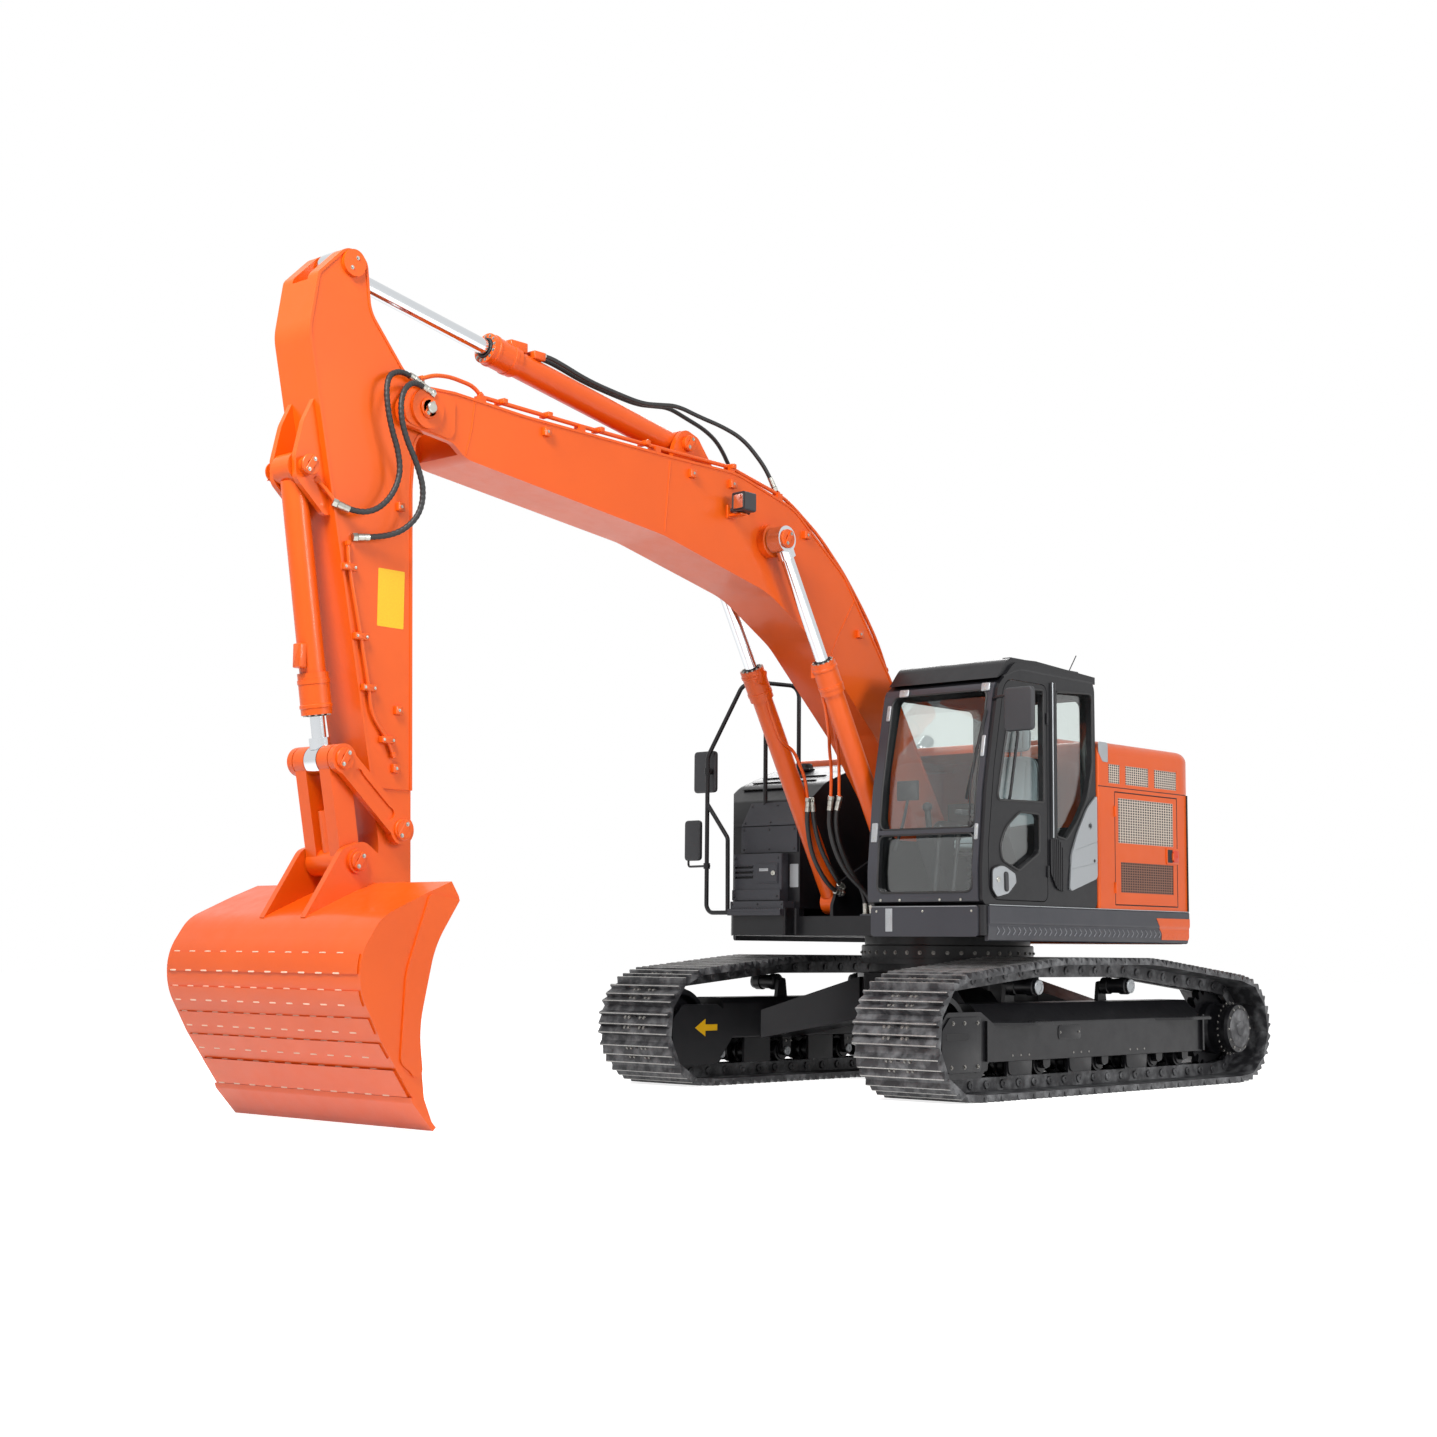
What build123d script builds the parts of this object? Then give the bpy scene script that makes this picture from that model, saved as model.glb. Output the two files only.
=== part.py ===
from build123d import *
import math
import os

os.makedirs("parts", exist_ok=True)

# Crawler excavator with a short tail, a wide ditching bucket and long tracks.
# Millimetres: +X to the machine's front, +Y to its left, +Z up.
# The origin is on the ground, on the axis that the upper body swings about.

# Fits between pieces
RUNNING_GAP = 0.3
PANEL_GAP = 6.0
KNUCKLE = 40.0
KNUCKLE_RADIUS = 11.0
SIDE_GAP = 6.0

# Undercarriage
TRACK_GAUGE = 2390.0
SHOE_WIDTH = 700.0
SHOE_COUNT = 49
TUMBLER_DISTANCE = 3660.0
LINK_DROP = 53.0
SHOE_SEAT = 50.0
SHOE_PLATE = 12.0
LUG_HEIGHT = 26.0
RAIL_INNER = 50.0
RAIL_THICK = 45.0
IDLER_X = TUMBLER_DISTANCE / 2
IDLER_Z = 430.0
IDLER_TREAD = 274.0
SPROCKET_Z = 415.0
SPROCKET_TREAD = 259.0
SPROCKET_TEETH = 21
ROLLER_TREAD = 80.0
ROLLER_FIRST_X = 1453.0
ROLLER_LAST_X = -1213.0
ROLLER_COUNT = 8
CARRIER_TREAD = 68.0
CARRIER_RELIEF = 5.0
CARRIER_X = (735.0, -490.0)
TRACK_HEIGHT = 960.0
FRAME_HALF = 205.0
FRAME_BOTTOM = 335.0
FRAME_FRONT = 1480.0
FRAME_REAR = -1400.0

TOW_X = 700.0
TOW_Z = 520.0
TOW_LUG = 40.0
TOW_BORE = 32.0

# Slewing ring and deck
PEDESTAL_TOP = 940.0
RING_TOP = 1035.0
RING_GAP = 0.5
RING_OUTER = 660.0
RING_INNER = 530.0
DECK_BOTTOM = 1106.0
DECK_TOP = 1310.0
DECK_PLATE = 30.0
DECK_FRONT = 1597.0
DECK_REAR = -1100.0
HALF_WIDTH = 1463.0
TAIL_PROUD = 12.0
TAIL_RADIUS = math.hypot(DECK_REAR, HALF_WIDTH + TAIL_PROUD)
TAIL_BOTTOM = 1066.0
RIGHT_FRONT = 1250.0
CORNER_LONG = 380.0
CORNER_WIDE = 343.0
TANK_FRONT = 1130.0
STEP_FRONT = 1210.0
BAY_RIGHT = -543.0
BAY_LEFT = 470.0
BAY_BACK = 1130.0
BAY_SILL = 1250.0

# Housings behind the cab
HOUSING_FRONT = 151.0
FIREWALL_X = -260.0
SPLIT_Z = 2206.0
HOUSING_TOP = 2540.0
PANEL_THICK = 32.0
DOOR_FRONT_X = -70.0
DOOR_REAR_X = -960.0
DOOR_LOW_Z = 1345.0
DOOR_HIGH_Z = 2175.0
SERVICE_HINGE = (DOOR_FRONT_X - PANEL_GAP / 2, HALF_WIDTH + 3)
SERVICE_HINGE_Z = (1470.0, 2030.0)
HOOD_FRONT_X = -180.0
HOOD_REAR_X = -1330.0
HOOD_HALF = 900.0
HOOD_HEIGHT = 70.0
GRILLE_LOW = 2235.0
GRILLE_HIGH = 2375.0
GRILLE_SLATS = 5
COWL_GRILLES = ((10.0, -150.0), (-225.0, -555.0), (-635.0, -965.0))
HOOD_HINGE =(HOOD_FRONT_X + 26, HOUSING_TOP + KNUCKLE_RADIUS - 1)

# Cab
CAB_LEFT = HALF_WIDTH - 11
CAB_RIGHT = 474.0
CAB_WALL = 45.0
GLASS = 6.0
RAIL_X = 1268.0
RAIL_Y = 98 - HALF_WIDTH
RAIL_TUBE = 17.0
SCREEN_Y = (CAB_RIGHT + 88, CAB_LEFT - 72)
SCREEN_LOW = 1395.0
SCREEN_SPLIT = 1820.0
SCREEN_HIGH = 2800.0
SCREEN_PROUD = 12.0
PILLAR_X = 724.0
VENT_PROUD = 14.0
VENT_PITCH = 24.0
VENT_SLOTS = 6
CAB_DOOR_REAR = 800.0
CAB_DOOR_FRONT = 1518.0
CAB_DOOR_LOW = 1345.0
CAB_DOOR_HIGH = 2880.0
CAB_HINGE = (CAB_DOOR_REAR + PANEL_GAP / 2, CAB_LEFT + 4)
CAB_HINGE_Z = (1560.0, 2640.0)

# Digging arm pins, each an (x, z) place
BOOM_FOOT = (340.0, 1830.0)
BOOM_TIP = (5515.0, 4165.0)
BOOM_CYLINDER_BASE = (985.0, 1357.0)
BOOM_CYLINDER_EYE = (2400.0, 3826.0)
ARM_CYLINDER_BASE = (3148.0, 4398.0)
ARM_CYLINDER_EYE = (6043.0, 4935.0)
BUCKET_CYLINDER_BASE = (6310.0, 3699.0)
BUCKET_CYLINDER_EYE = (6045.0, 2048.0)
LINK_FOOT = (5612.0, 1664.0)
BUCKET_PIN = (5645.0, 1255.0)
BUCKET_LINK_PIN = (5938.0, 1472.0)

# Digging arm widths and pins
BOOM_HALF = 215.0
BOOM_EAR = 40.0
ARM_HALF = 165.0
ARM_NOSE_HALF = 150.0
BRACKET_IN = 222.0
BRACKET_OUT = 250.0
PIN_RADIUS = 50.0
BOOM_CYLINDER_Y = 332.0
BUCKET_WIDTH = 1770.0
BUCKET_PLATE = 40.0
BUCKET_EAR_IN = 166.0
BUCKET_EAR_OUT = 210.0
EYE_HALF = 55.0
FORK_IN = 62.0
FORK_OUT = 158.0


def box(x0, x1, y0, y1, z0, z1):
    size = (abs(x1 - x0), abs(y1 - y0), abs(z1 - z0))
    centre = ((x0 + x1) / 2, (y0 + y1) / 2, (z0 + z1) / 2)
    return Pos(*centre) * Box(*size)


def side_shape(rows, y0, y1):
    # rows: x, z, corner radius, seen from the side
    points = [(x, y0, z) for x, z, r in rows]
    radii = [r for x, z, r in rows]
    face = make_face(FilletPolyline(*points, radius=radii, close=True))
    return extrude(face, amount=y1 - y0, dir=(0, 1, 0))


def plan_shape(rows, z0, z1):
    # rows: x, y, corner radius, seen from above
    points = [(x, y, z0) for x, y, r in rows]
    radii = [r for x, y, r in rows]
    face = make_face(FilletPolyline(*points, radius=radii, close=True))
    return extrude(face, amount=z1 - z0, dir=(0, 0, 1))


def front_shape(rows, x0, x1):
    # rows: y, z, corner radius, seen from the front
    points = [(x0, y, z) for y, z, r in rows]
    radii = [r for y, z, r in rows]
    face = make_face(FilletPolyline(*points, radius=radii, close=True))
    return extrude(face, amount=x1 - x0, dir=(1, 0, 0))


def cross_pin(place, radius, y0, y1):
    # a round bar along Y at an (x, z) place
    x, z = place
    return Pos(x, (y0 + y1) / 2, z) * Rot(90, 0, 0) * Cylinder(radius, y1 - y0)


def rod_between(start, end, radius):
    a = Vector(*start)
    b = Vector(*end)
    plane = Plane(origin=(a + b) / 2, z_dir=(b - a))
    return plane * Cylinder(radius, (b - a).length)


def wheel(place, y, rows):
    # rows: distance along the axle from y, radius
    x, z = place
    points = [(x, y + d, z + r) for d, r in rows]
    face = make_face(Polyline(*points, close=True))
    return revolve(face, Axis((x, y, z), (0, 1, 0)), 360)


def mirrored(shape):
    return mirror(shape, about=Plane.XZ)


def knuckled(body, x, y, places, carries_pin):
    # upright hinge knuckles: the frame holds the lower half of each, the door the upper
    for z in places:
        own = (z - KNUCKLE, z) if carries_pin else (z + RUNNING_GAP, z + KNUCKLE)
        other = (z + RUNNING_GAP / 2, z + KNUCKLE + 3) if carries_pin else (
            z - KNUCKLE - 3, z + RUNNING_GAP / 2)
        body -= Pos(x, y, sum(other) / 2) * Cylinder(KNUCKLE_RADIUS + 3, other[1] - other[0])
        body += Pos(x, y, sum(own) / 2) * Cylinder(KNUCKLE_RADIUS, own[1] - own[0])
    return body


# Track loop: a belt of straight links over round treads

def belt_circles():
    # x, z and radius of the pins' path round each tread, from the idler over the top
    half_link = 95.0
    idler = math.hypot(IDLER_TREAD + LINK_DROP, half_link)
    sprocket = math.hypot(SPROCKET_TREAD + LINK_DROP, half_link)
    carrier_z = TRACK_HEIGHT - (SHOE_SEAT + SHOE_PLATE + LUG_HEIGHT) - LINK_DROP - CARRIER_TREAD
    roller_z = roller_height()
    upper = CARRIER_TREAD + LINK_DROP
    lower = ROLLER_TREAD + LINK_DROP
    return [
        (IDLER_X, IDLER_Z, idler),
        (CARRIER_X[0], carrier_z, upper),
        (CARRIER_X[1], carrier_z, upper),
        (-IDLER_X, SPROCKET_Z, sprocket),
        (ROLLER_LAST_X - 110, roller_z, lower),
        (ROLLER_FIRST_X + 110, roller_z, lower),
    ]


def roller_height():
    return SHOE_SEAT + SHOE_PLATE + LUG_HEIGHT + LINK_DROP + ROLLER_TREAD


def belt_segments():
    # straight runs and arcs of the pins' path, anticlockwise seen from the left
    circles = belt_circles()
    count = len(circles)
    runs = []
    for i in range(count):
        x0, z0, r0 = circles[i]
        x1, z1, r1 = circles[(i + 1) % count]
        length = math.hypot(x1 - x0, z1 - z0)
        heading = math.atan2(z1 - z0, x1 - x0)
        normal = heading - math.pi / 2 + math.asin((r1 - r0) / length) * -1
        runs.append((
            (x0 + r0 * math.cos(normal), z0 + r0 * math.sin(normal)),
            (x1 + r1 * math.cos(normal), z1 + r1 * math.sin(normal)),
            normal,
        ))
    segments = []
    for i in range(count):
        start, end, normal = runs[i]
        segments.append(("run", start, end))
        x, z, r = circles[(i + 1) % count]
        turn = (runs[(i + 1) % count][2] - normal) % (2 * math.pi)
        segments.append(("arc", (x, z, r), (normal, turn)))
    return segments


def belt_pins():
    # the link pins, evenly spaced along the path
    segments = belt_segments()
    lengths = []
    for kind, a, b in segments:
        if kind == "run":
            lengths.append(math.hypot(b[0] - a[0], b[1] - a[1]))
        else:
            lengths.append(a[2] * b[1])
    pitch = sum(lengths) / SHOE_COUNT
    pins = []
    for i in range(SHOE_COUNT):
        left = i * pitch
        for (kind, a, b), length in zip(segments, lengths):
            if left <= length:
                break
            left -= length
        if kind == "run":
            share = left / length
            pins.append((a[0] + (b[0] - a[0]) * share, a[1] + (b[1] - a[1]) * share))
        else:
            angle = b[0] + left / a[2]
            pins.append((a[0] + a[2] * math.cos(angle), a[1] + a[2] * math.sin(angle)))
    return pins


def belt_outline(rows, y):
    # rows: share of the link, height above the pins' line
    pins = belt_pins()
    points = []
    for i, (x, z) in enumerate(pins):
        nx, nz = pins[(i + 1) % len(pins)]
        length = math.hypot(nx - x, nz - z)
        ux, uz = (nx - x) / length, (nz - z) / length
        for share, height in rows:
            run = share * length
            points.append((x + ux * run + uz * height, y, z + uz * run - ux * height))
    return Polyline(*points, close=True)


def band(outer_rows, inner_rows, y0, y1):
    outer = make_face(belt_outline(outer_rows, y0))
    inner = make_face(belt_outline(inner_rows, y0))
    return extrude(outer - inner, amount=y1 - y0, dir=(0, 1, 0))


def track(side):
    tip = SHOE_SEAT + SHOE_PLATE + LUG_HEIGHT
    valley = SHOE_SEAT + SHOE_PLATE
    lug_rows = [
        (0.02, SHOE_SEAT - 6),
        (0.05, valley), (0.08, tip), (0.14, tip),
        (0.38, valley), (0.42, tip), (0.48, tip),
        (0.78, valley), (0.82, tip), (0.89, tip),
        (0.97, valley - 6),
    ]
    seat_rows = [(0.0, SHOE_SEAT - 12)]
    rail_rows = [(0.0, -LINK_DROP)]
    centre = TRACK_GAUGE / 2
    shoes = band(lug_rows, seat_rows, centre - SHOE_WIDTH / 2, centre + SHOE_WIDTH / 2)
    rail_out = RAIL_INNER + RAIL_THICK
    rails = [
        band([(0.0, SHOE_SEAT - 11)], rail_rows, centre + y0, centre + y1)
        for y0, y1 in ((-rail_out, -RAIL_INNER), (RAIL_INNER, rail_out))
    ]
    whole = shoes + rails[0] + rails[1]
    return whole if side > 0 else mirrored(whole)


def track_frame(side):
    # box beam with a sloping top, front fork for the idler and a rear plate for the drive
    centre = TRACK_GAUGE / 2
    rows = [
        (centre - FRAME_HALF, FRAME_BOTTOM, 10), (centre - FRAME_HALF, 600, 20),
        (centre - 165, 640, 10), (centre + 60, 640, 20), (centre + FRAME_HALF, 510, 20),
        (centre + FRAME_HALF, 250, 6), (centre + FRAME_HALF - 25, 250, 6),
        (centre + FRAME_HALF - 25, FRAME_BOTTOM, 6),
    ]
    beam = front_shape(rows, FRAME_REAR, FRAME_FRONT)
    fork = [
        (1380, FRAME_BOTTOM, 10), (1547, 150, 40), (1950, 150, 60), (2034, 290, 40),
        (2034, 480, 60), (1930, 591, 60), (1547, 591, 30), (1380, 500, 10),
    ]
    plate = 25.0
    body = beam
    for y0 in (centre - FRAME_HALF, centre + FRAME_HALF - plate):
        body += side_shape(fork, y0, y0 + plate)
    drive = [
        (FRAME_REAR + 60, 310, 10), (FRAME_REAR + 60, 560, 10), (-1700, 620, 120),
        (-2000, 560, 120), (-2040, 380, 120), (-1900, 230, 120), (-1640, 230, 80),
    ]
    body += side_shape(drive, centre - FRAME_HALF, centre - FRAME_HALF + 40)
    # guards that keep the chain on the lower rollers
    for x in guard_places():
        for y0 in (centre - 190, centre + 168):
            body += box(x - 150, x + 150, y0, y0 + 22, 150, FRAME_BOTTOM)
    # climbing steps and end plates outside the beam
    outer = centre + FRAME_HALF
    for front, near, far, rear in ((1440, 1080, 840, 840), (-660, -1040, -1340, -1340)):
        body += plan_shape([(front, outer - 20, 0), (near, outer + 125, 150), (far, outer + 125, 15),
                            (rear, outer - 20, 0)], 497, 515)
    for x in (FRAME_FRONT + 10, FRAME_REAR + 10):
        body += box(x - 12, x + 12, outer - 30, outer + 22, 258, 530)
    bore =cross_pin((-IDLER_X, SPROCKET_Z), 150 + RUNNING_GAP, centre - 240, centre - 100)
    body -= bore
    return body if side > 0 else mirrored(body)


def roller_places():
    step = (ROLLER_FIRST_X - ROLLER_LAST_X) / (ROLLER_COUNT - 1)
    return [ROLLER_FIRST_X - i * step for i in range(ROLLER_COUNT)]


def guard_places():
    return roller_places()[1::2][:3]


def lower_rollers():
    solids = []
    tread = ROLLER_TREAD - RUNNING_GAP
    profile = [
        (-150, 0), (-150, 36), (-118, 36), (-118, 62), (-106, 66), (-104, tread), (-48, tread),
        (-46, 97), (-34, 97), (-30, 62), (30, 62), (34, 97), (46, 97), (48, tread),
        (104, tread), (106, 66), (118, 62), (118, 36), (150, 36), (150, 0),
    ]
    for side in (1, -1):
        y = side * TRACK_GAUGE / 2
        for x in roller_places():
            z = roller_height()
            roller = wheel((x, z), y, profile)
            for y0 in (-164, 124):
                roller += side_shape(
                    [(x - 55, FRAME_BOTTOM, 0), (x - 40, z - 30, 25), (x + 40, z - 30, 25),
                     (x + 55, FRAME_BOTTOM, 0)], y + y0, y + y0 + 40)
            solids.append(roller)
    return Compound(children=solids)


def carrier_rollers():
    solids = []
    tread = CARRIER_TREAD - CARRIER_RELIEF
    profile = [
        (-150, 0), (-150, 34), (-112, 34), (-112, 52), (-104, tread), (-48, tread), (-44, 54),
        (44, 54), (48, tread), (104, tread), (112, 56), (134, 52), (134, 0),
    ]
    z = belt_circles()[1][1]
    for side in (1, -1):
        y = TRACK_GAUGE / 2
        for x in CARRIER_X:
            roller = wheel((x, z), y, profile)
            roller += side_shape(
                [(x - 60, 640, 0), (x - 40, z + 30, 20), (x + 40, z + 30, 20), (x + 60, 640, 0)],
                y - 150, y - 118)
            solids.append(roller if side > 0 else mirrored(roller))
    return Compound(children=solids)


def idlers():
    tread = IDLER_TREAD - RUNNING_GAP
    rim = tread + 18
    half = [(0, rim), (40, rim), (46, tread), (98, tread), (98, 236), (34, 216), (34, 128),
            (112, 118), (112, 60), (180, 60)]
    profile = [(-d, r) for d, r in reversed(half)] + half[1:] + [(180, 0), (-180, 0)]
    solids = [wheel((IDLER_X, IDLER_Z), side * TRACK_GAUGE / 2, profile) for side in (1, -1)]
    return Compound(children=solids)


def sprocket(side):
    centre = TRACK_GAUGE / 2
    root = SPROCKET_TREAD + 12
    tip = SPROCKET_TREAD + 62
    points = []
    for i in range(SPROCKET_TEETH):
        for share, radius in ((0.0, root), (0.28, root), (0.46, tip), (0.82, tip)):
            angle = 2 * math.pi * (i + share) / SPROCKET_TEETH
            points.append((-IDLER_X + radius * math.cos(angle), centre - 30,
                           SPROCKET_Z + radius * math.sin(angle)))
    disc = extrude(make_face(Polyline(*points, close=True)), amount=60, dir=(0, 1, 0))
    hub = [(-FRAME_HALF - 110, 0), (-FRAME_HALF - 110, 120), (-FRAME_HALF, 150), (-60, 150),
           (-60, 205), (90, 205), (120, 190), (230, 186), (262, 190), (290, 184), (296, 150),
           (296, 0)]
    whole = disc + wheel((-IDLER_X, SPROCKET_Z), centre, hub)
    return whole if side > 0 else mirrored(whole)


def centre_frame():
    hub = plan_shape([(620, 330, 30), (330, 620, 30), (-330, 620, 30), (-620, 330, 30),
                      (-620, -330, 30), (-330, -620, 30), (330, -620, 30), (620, -330, 30)], 480, 830)
    body = hub + Pos(0, 0, (820 + PEDESTAL_TOP) / 2) * Cylinder(600, PEDESTAL_TOP - 820)
    body += Pos(0, 0, PEDESTAL_TOP - 20) * Cylinder(RING_OUTER + 15, 40)
    inner = TRACK_GAUGE / 2 - FRAME_HALF
    # level towing tongues at the front and rear of the hub, each with an upright shackle hole
    for end in (1, -1):
        x = end * TOW_X
        body += box(x - end * 110, x + end * 70, -90, 90, TOW_Z - TOW_LUG / 2, TOW_Z + TOW_LUG / 2)
        body -= Pos(x, 0, TOW_Z) * Cylinder(TOW_BORE, 2 * TOW_LUG)
    for sx in (1, -1):
        for sy in (1, -1):
            root = [(sx * 150, 480), (sx * 560, 480), (sx * 560, 800), (sx * 150, 800)]
            end = [(sx * 620, 330), (sx * 1050, 330), (sx * 1050, 540), (sx * 620, 540)]
            faces = [
                make_face(Polyline(*[(x, y, z) for x, z in rows], close=True))
                for y, rows in ((sy * 420, root), (sy * inner, end))
            ]
            body += loft(faces)
    return body


def ring(z0, z1, inner, outer):
    return Pos(0, 0, (z0 + z1) / 2) * (Cylinder(outer, z1 - z0) - Cylinder(inner, z1 - z0))


# Deck, counterweight and housings

def deck_plan(inset):
    # x, y, corner radius of the deck's rim, drawn in by inset; the right front corner is cut off
    front = DECK_FRONT - inset
    left = HALF_WIDTH - inset
    lean = 0.4 * inset
    return [
        (front, BAY_LEFT + 30 + inset, 20), (front, left, 40), (DECK_REAR, left, 0),
        (DECK_REAR, -left, 0), (RIGHT_FRONT - CORNER_LONG - lean, -left, 60),
        (RIGHT_FRONT - inset, CORNER_WIDE - HALF_WIDTH + lean, 60), (RIGHT_FRONT - inset, BAY_RIGHT - 45, 20),
        (BAY_BACK - inset, BAY_RIGHT - 45, 20), (BAY_BACK - inset, BAY_LEFT + 30 + inset, 20),
    ]


def deck():
    body = plan_shape(deck_plan(0), DECK_BOTTOM, DECK_TOP)
    room = plan_shape(deck_plan(60), DECK_BOTTOM + DECK_PLATE, DECK_TOP + 10)
    room -= box(TANK_FRONT - 60, 1700, -1600, 0, DECK_BOTTOM, DECK_TOP + 20)
    body -= room & box(DECK_REAR + 30, 1700, -1500, 1500, DECK_BOTTOM, DECK_TOP + 20)
    # low sill behind the boom's bay, so that the boom cylinders can lie down over it
    body -= box(BAY_BACK - 70, BAY_BACK + 5, BAY_RIGHT - 5, BAY_LEFT - 30, BAY_SILL, DECK_TOP + 5)
    for y0 in (-BRACKET_OUT, BRACKET_IN):
        rows = [
            (DECK_REAR + 3, DECK_BOTTOM + 10, 0), (DECK_REAR + 3, DECK_TOP + 60, 30), (-420, DECK_TOP + 110, 120),
            (150, BOOM_FOOT[1] + 150, 120), (BOOM_FOOT[0] + 120, BOOM_FOOT[1] + 150, 140),
            (BOOM_FOOT[0] + 260, BOOM_FOOT[1] - 120, 120), (BOOM_CYLINDER_BASE[0] + 60, 1505, 110),
            (BOOM_CYLINDER_BASE[0] + 145, 1330, 110), (BAY_BACK - 5, DECK_BOTTOM + 10, 0),
        ]
        body += side_shape(rows, y0, y0 + BRACKET_OUT - BRACKET_IN)
    body += cross_pin(BOOM_FOOT, PIN_RADIUS, -BRACKET_OUT - 20, BRACKET_OUT + 20)
    for side in (1, -1):
        stub = cross_pin(BOOM_CYLINDER_BASE, PIN_RADIUS, BRACKET_IN, BOOM_CYLINDER_Y + 72)
        body += stub if side > 0 else mirrored(stub)
    for x in (-760, 480):
        body += box(x - 15, x + 15, -1410, 1410, DECK_BOTTOM + 10, DECK_TOP - 30)
    return body


def counterweight():
    z0 = TAIL_BOTTOM
    reach = HALF_WIDTH + TAIL_PROUD + 1
    disc = Pos(0, 0, (z0 + SPLIT_Z) / 2) * Cylinder(TAIL_RADIUS, SPLIT_Z - z0)
    body = disc & box(-1900, DECK_REAR, -reach, reach, z0, SPLIT_Z)
    top = [e for e in body.edges().group_by(Axis.Z)[-1] if e.center().X < DECK_REAR - 60]
    body = fillet(top, 30)
    low = [e for e in body.edges().group_by(Axis.Z)[0] if e.center().X < DECK_REAR - 60]
    return fillet(low, 60)


def housing(side):
    # hollow box open to the engine bay and on top, with a door cut in its outer wall
    wall = PANEL_THICK
    body = box(DECK_REAR, HOUSING_FRONT, BAY_LEFT, HALF_WIDTH, DECK_TOP, SPLIT_Z)
    body -= box(DECK_REAR + wall, HOUSING_FRONT - wall, BAY_LEFT - 10, HALF_WIDTH - wall,
                DECK_TOP + wall, SPLIT_Z + 10)
    body -= box(DOOR_REAR_X, DOOR_FRONT_X, HALF_WIDTH - wall - 5, HALF_WIDTH + 5,
                DOOR_LOW_Z, DOOR_HIGH_Z)
    edges = [e for e in body.edges().filter_by(Axis.Z)
             if e.center().Y > HALF_WIDTH - 1 and e.center().X > HOUSING_FRONT - 1]
    body = fillet(edges, 25)
    body = knuckled(body, *SERVICE_HINGE, SERVICE_HINGE_Z, True)
    return body if side > 0 else mirrored(body)


def service_door(side):
    # framed panel with two grille fields and a latch handle
    gap = PANEL_GAP
    x0, x1 = DOOR_REAR_X + gap, DOOR_FRONT_X - gap
    z0, z1 = DOOR_LOW_Z + gap, DOOR_HIGH_Z - gap
    y1 = HALF_WIDTH
    y0 = y1 - 28
    body = box(x0, x1, y0, y1, z0, z1)
    for gx0, gx1, gz0, gz1 in ((-907, -118, 1801, 2131), (-903, -150, 1438, 1661)):
        body -= box(gx0, gx1, y0 + 6, y1 + 5, gz0, gz1)
        count = 9
        for i in range(count):
            z = gz0 + (i + 0.5) * (gz1 - gz0) / count
            body += box(gx0, gx1, y0, y1 - 6, z - 7, z + 7)
    body += box(-925, -865, y1 - 2, y1 + 18, 1700, 1752)
    body = knuckled(body, *SERVICE_HINGE, SERVICE_HINGE_Z, False)
    return body if side > 0 else mirrored(body)


def upper_cowl():
    # the band above the housings, round at the tail, hollow over the engine
    rows = [
        (HOUSING_FRONT, HALF_WIDTH, 25), (HOUSING_FRONT, -HALF_WIDTH, 25),
        (DECK_REAR - 60, -HALF_WIDTH, 300), (-1560, -1010, 260), (-1640, 0, 1500),
        (-1560, 1010, 260), (DECK_REAR - 60, HALF_WIDTH, 300),
    ]
    z0, z1 = SPLIT_Z, HOUSING_TOP
    body = plan_shape(rows, z0, z1)
    top = body.edges().group_by(Axis.Z)[-1]
    body = fillet(top, 80)
    wall = PANEL_THICK
    body -= box(HOOD_REAR_X + 40, HOUSING_FRONT - wall, -HALF_WIDTH + wall, HALF_WIDTH - wall,
                z0 - 5, z1 - wall)
    body -= box(HOOD_REAR_X, HOOD_FRONT_X, -HOOD_HALF, HOOD_HALF, z1 - wall - 5, z1 + 5)
    body -= box(FIREWALL_X, HOUSING_FRONT + 5, BAY_RIGHT + 60, BAY_LEFT - 60, z0 - 5, z1 + 5)
    # air grilles in both sides, with level slats
    for side in (1, -1):
        y0, y1 = side * (HALF_WIDTH - wall - 5), side * (HALF_WIDTH + 5)
        for front, rear in COWL_GRILLES:
            body -= box(rear, front, y0, y1, GRILLE_LOW, GRILLE_HIGH)
            for i in range(GRILLE_SLATS):
                z = GRILLE_LOW + (i + 0.5) * (GRILLE_HIGH - GRILLE_LOW) / GRILLE_SLATS
                body += box(rear - 5, front + 5, y0 + side * 15, y1 - side * 11, z - 6, z + 6)
    return hood_knuckles(body, True)


def hood_knuckles(body, carries_pin):
    # two hinges along Y at the hood's front edge
    x, z = HOOD_HINGE
    for y in (-HOOD_HALF * 0.7, HOOD_HALF * 0.7):
        own = (y - KNUCKLE, y) if carries_pin else (y + RUNNING_GAP, y + KNUCKLE)
        other = (y + RUNNING_GAP / 2, y + KNUCKLE + 3) if carries_pin else (
            y - KNUCKLE - 3, y + RUNNING_GAP / 2)
        body -= cross_pin(HOOD_HINGE, KNUCKLE_RADIUS + 3, *other)
        body += cross_pin(HOOD_HINGE, KNUCKLE_RADIUS, *own)
    return body


def engine_hood():
    gap = PANEL_GAP
    z0 = HOUSING_TOP + RUNNING_GAP
    body = box(HOOD_REAR_X - 20, HOOD_FRONT_X + 20, -HOOD_HALF - 20, HOOD_HALF + 20, z0,
               z0 + HOOD_HEIGHT)
    body = fillet(body.edges().group_by(Axis.Z)[-1], 40)
    body -= box(HOOD_REAR_X + gap, HOOD_FRONT_X - gap, -HOOD_HALF + gap, HOOD_HALF - gap,
                z0 - 5, z0 + HOOD_HEIGHT - 28)
    return hood_knuckles(body, False)


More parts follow.
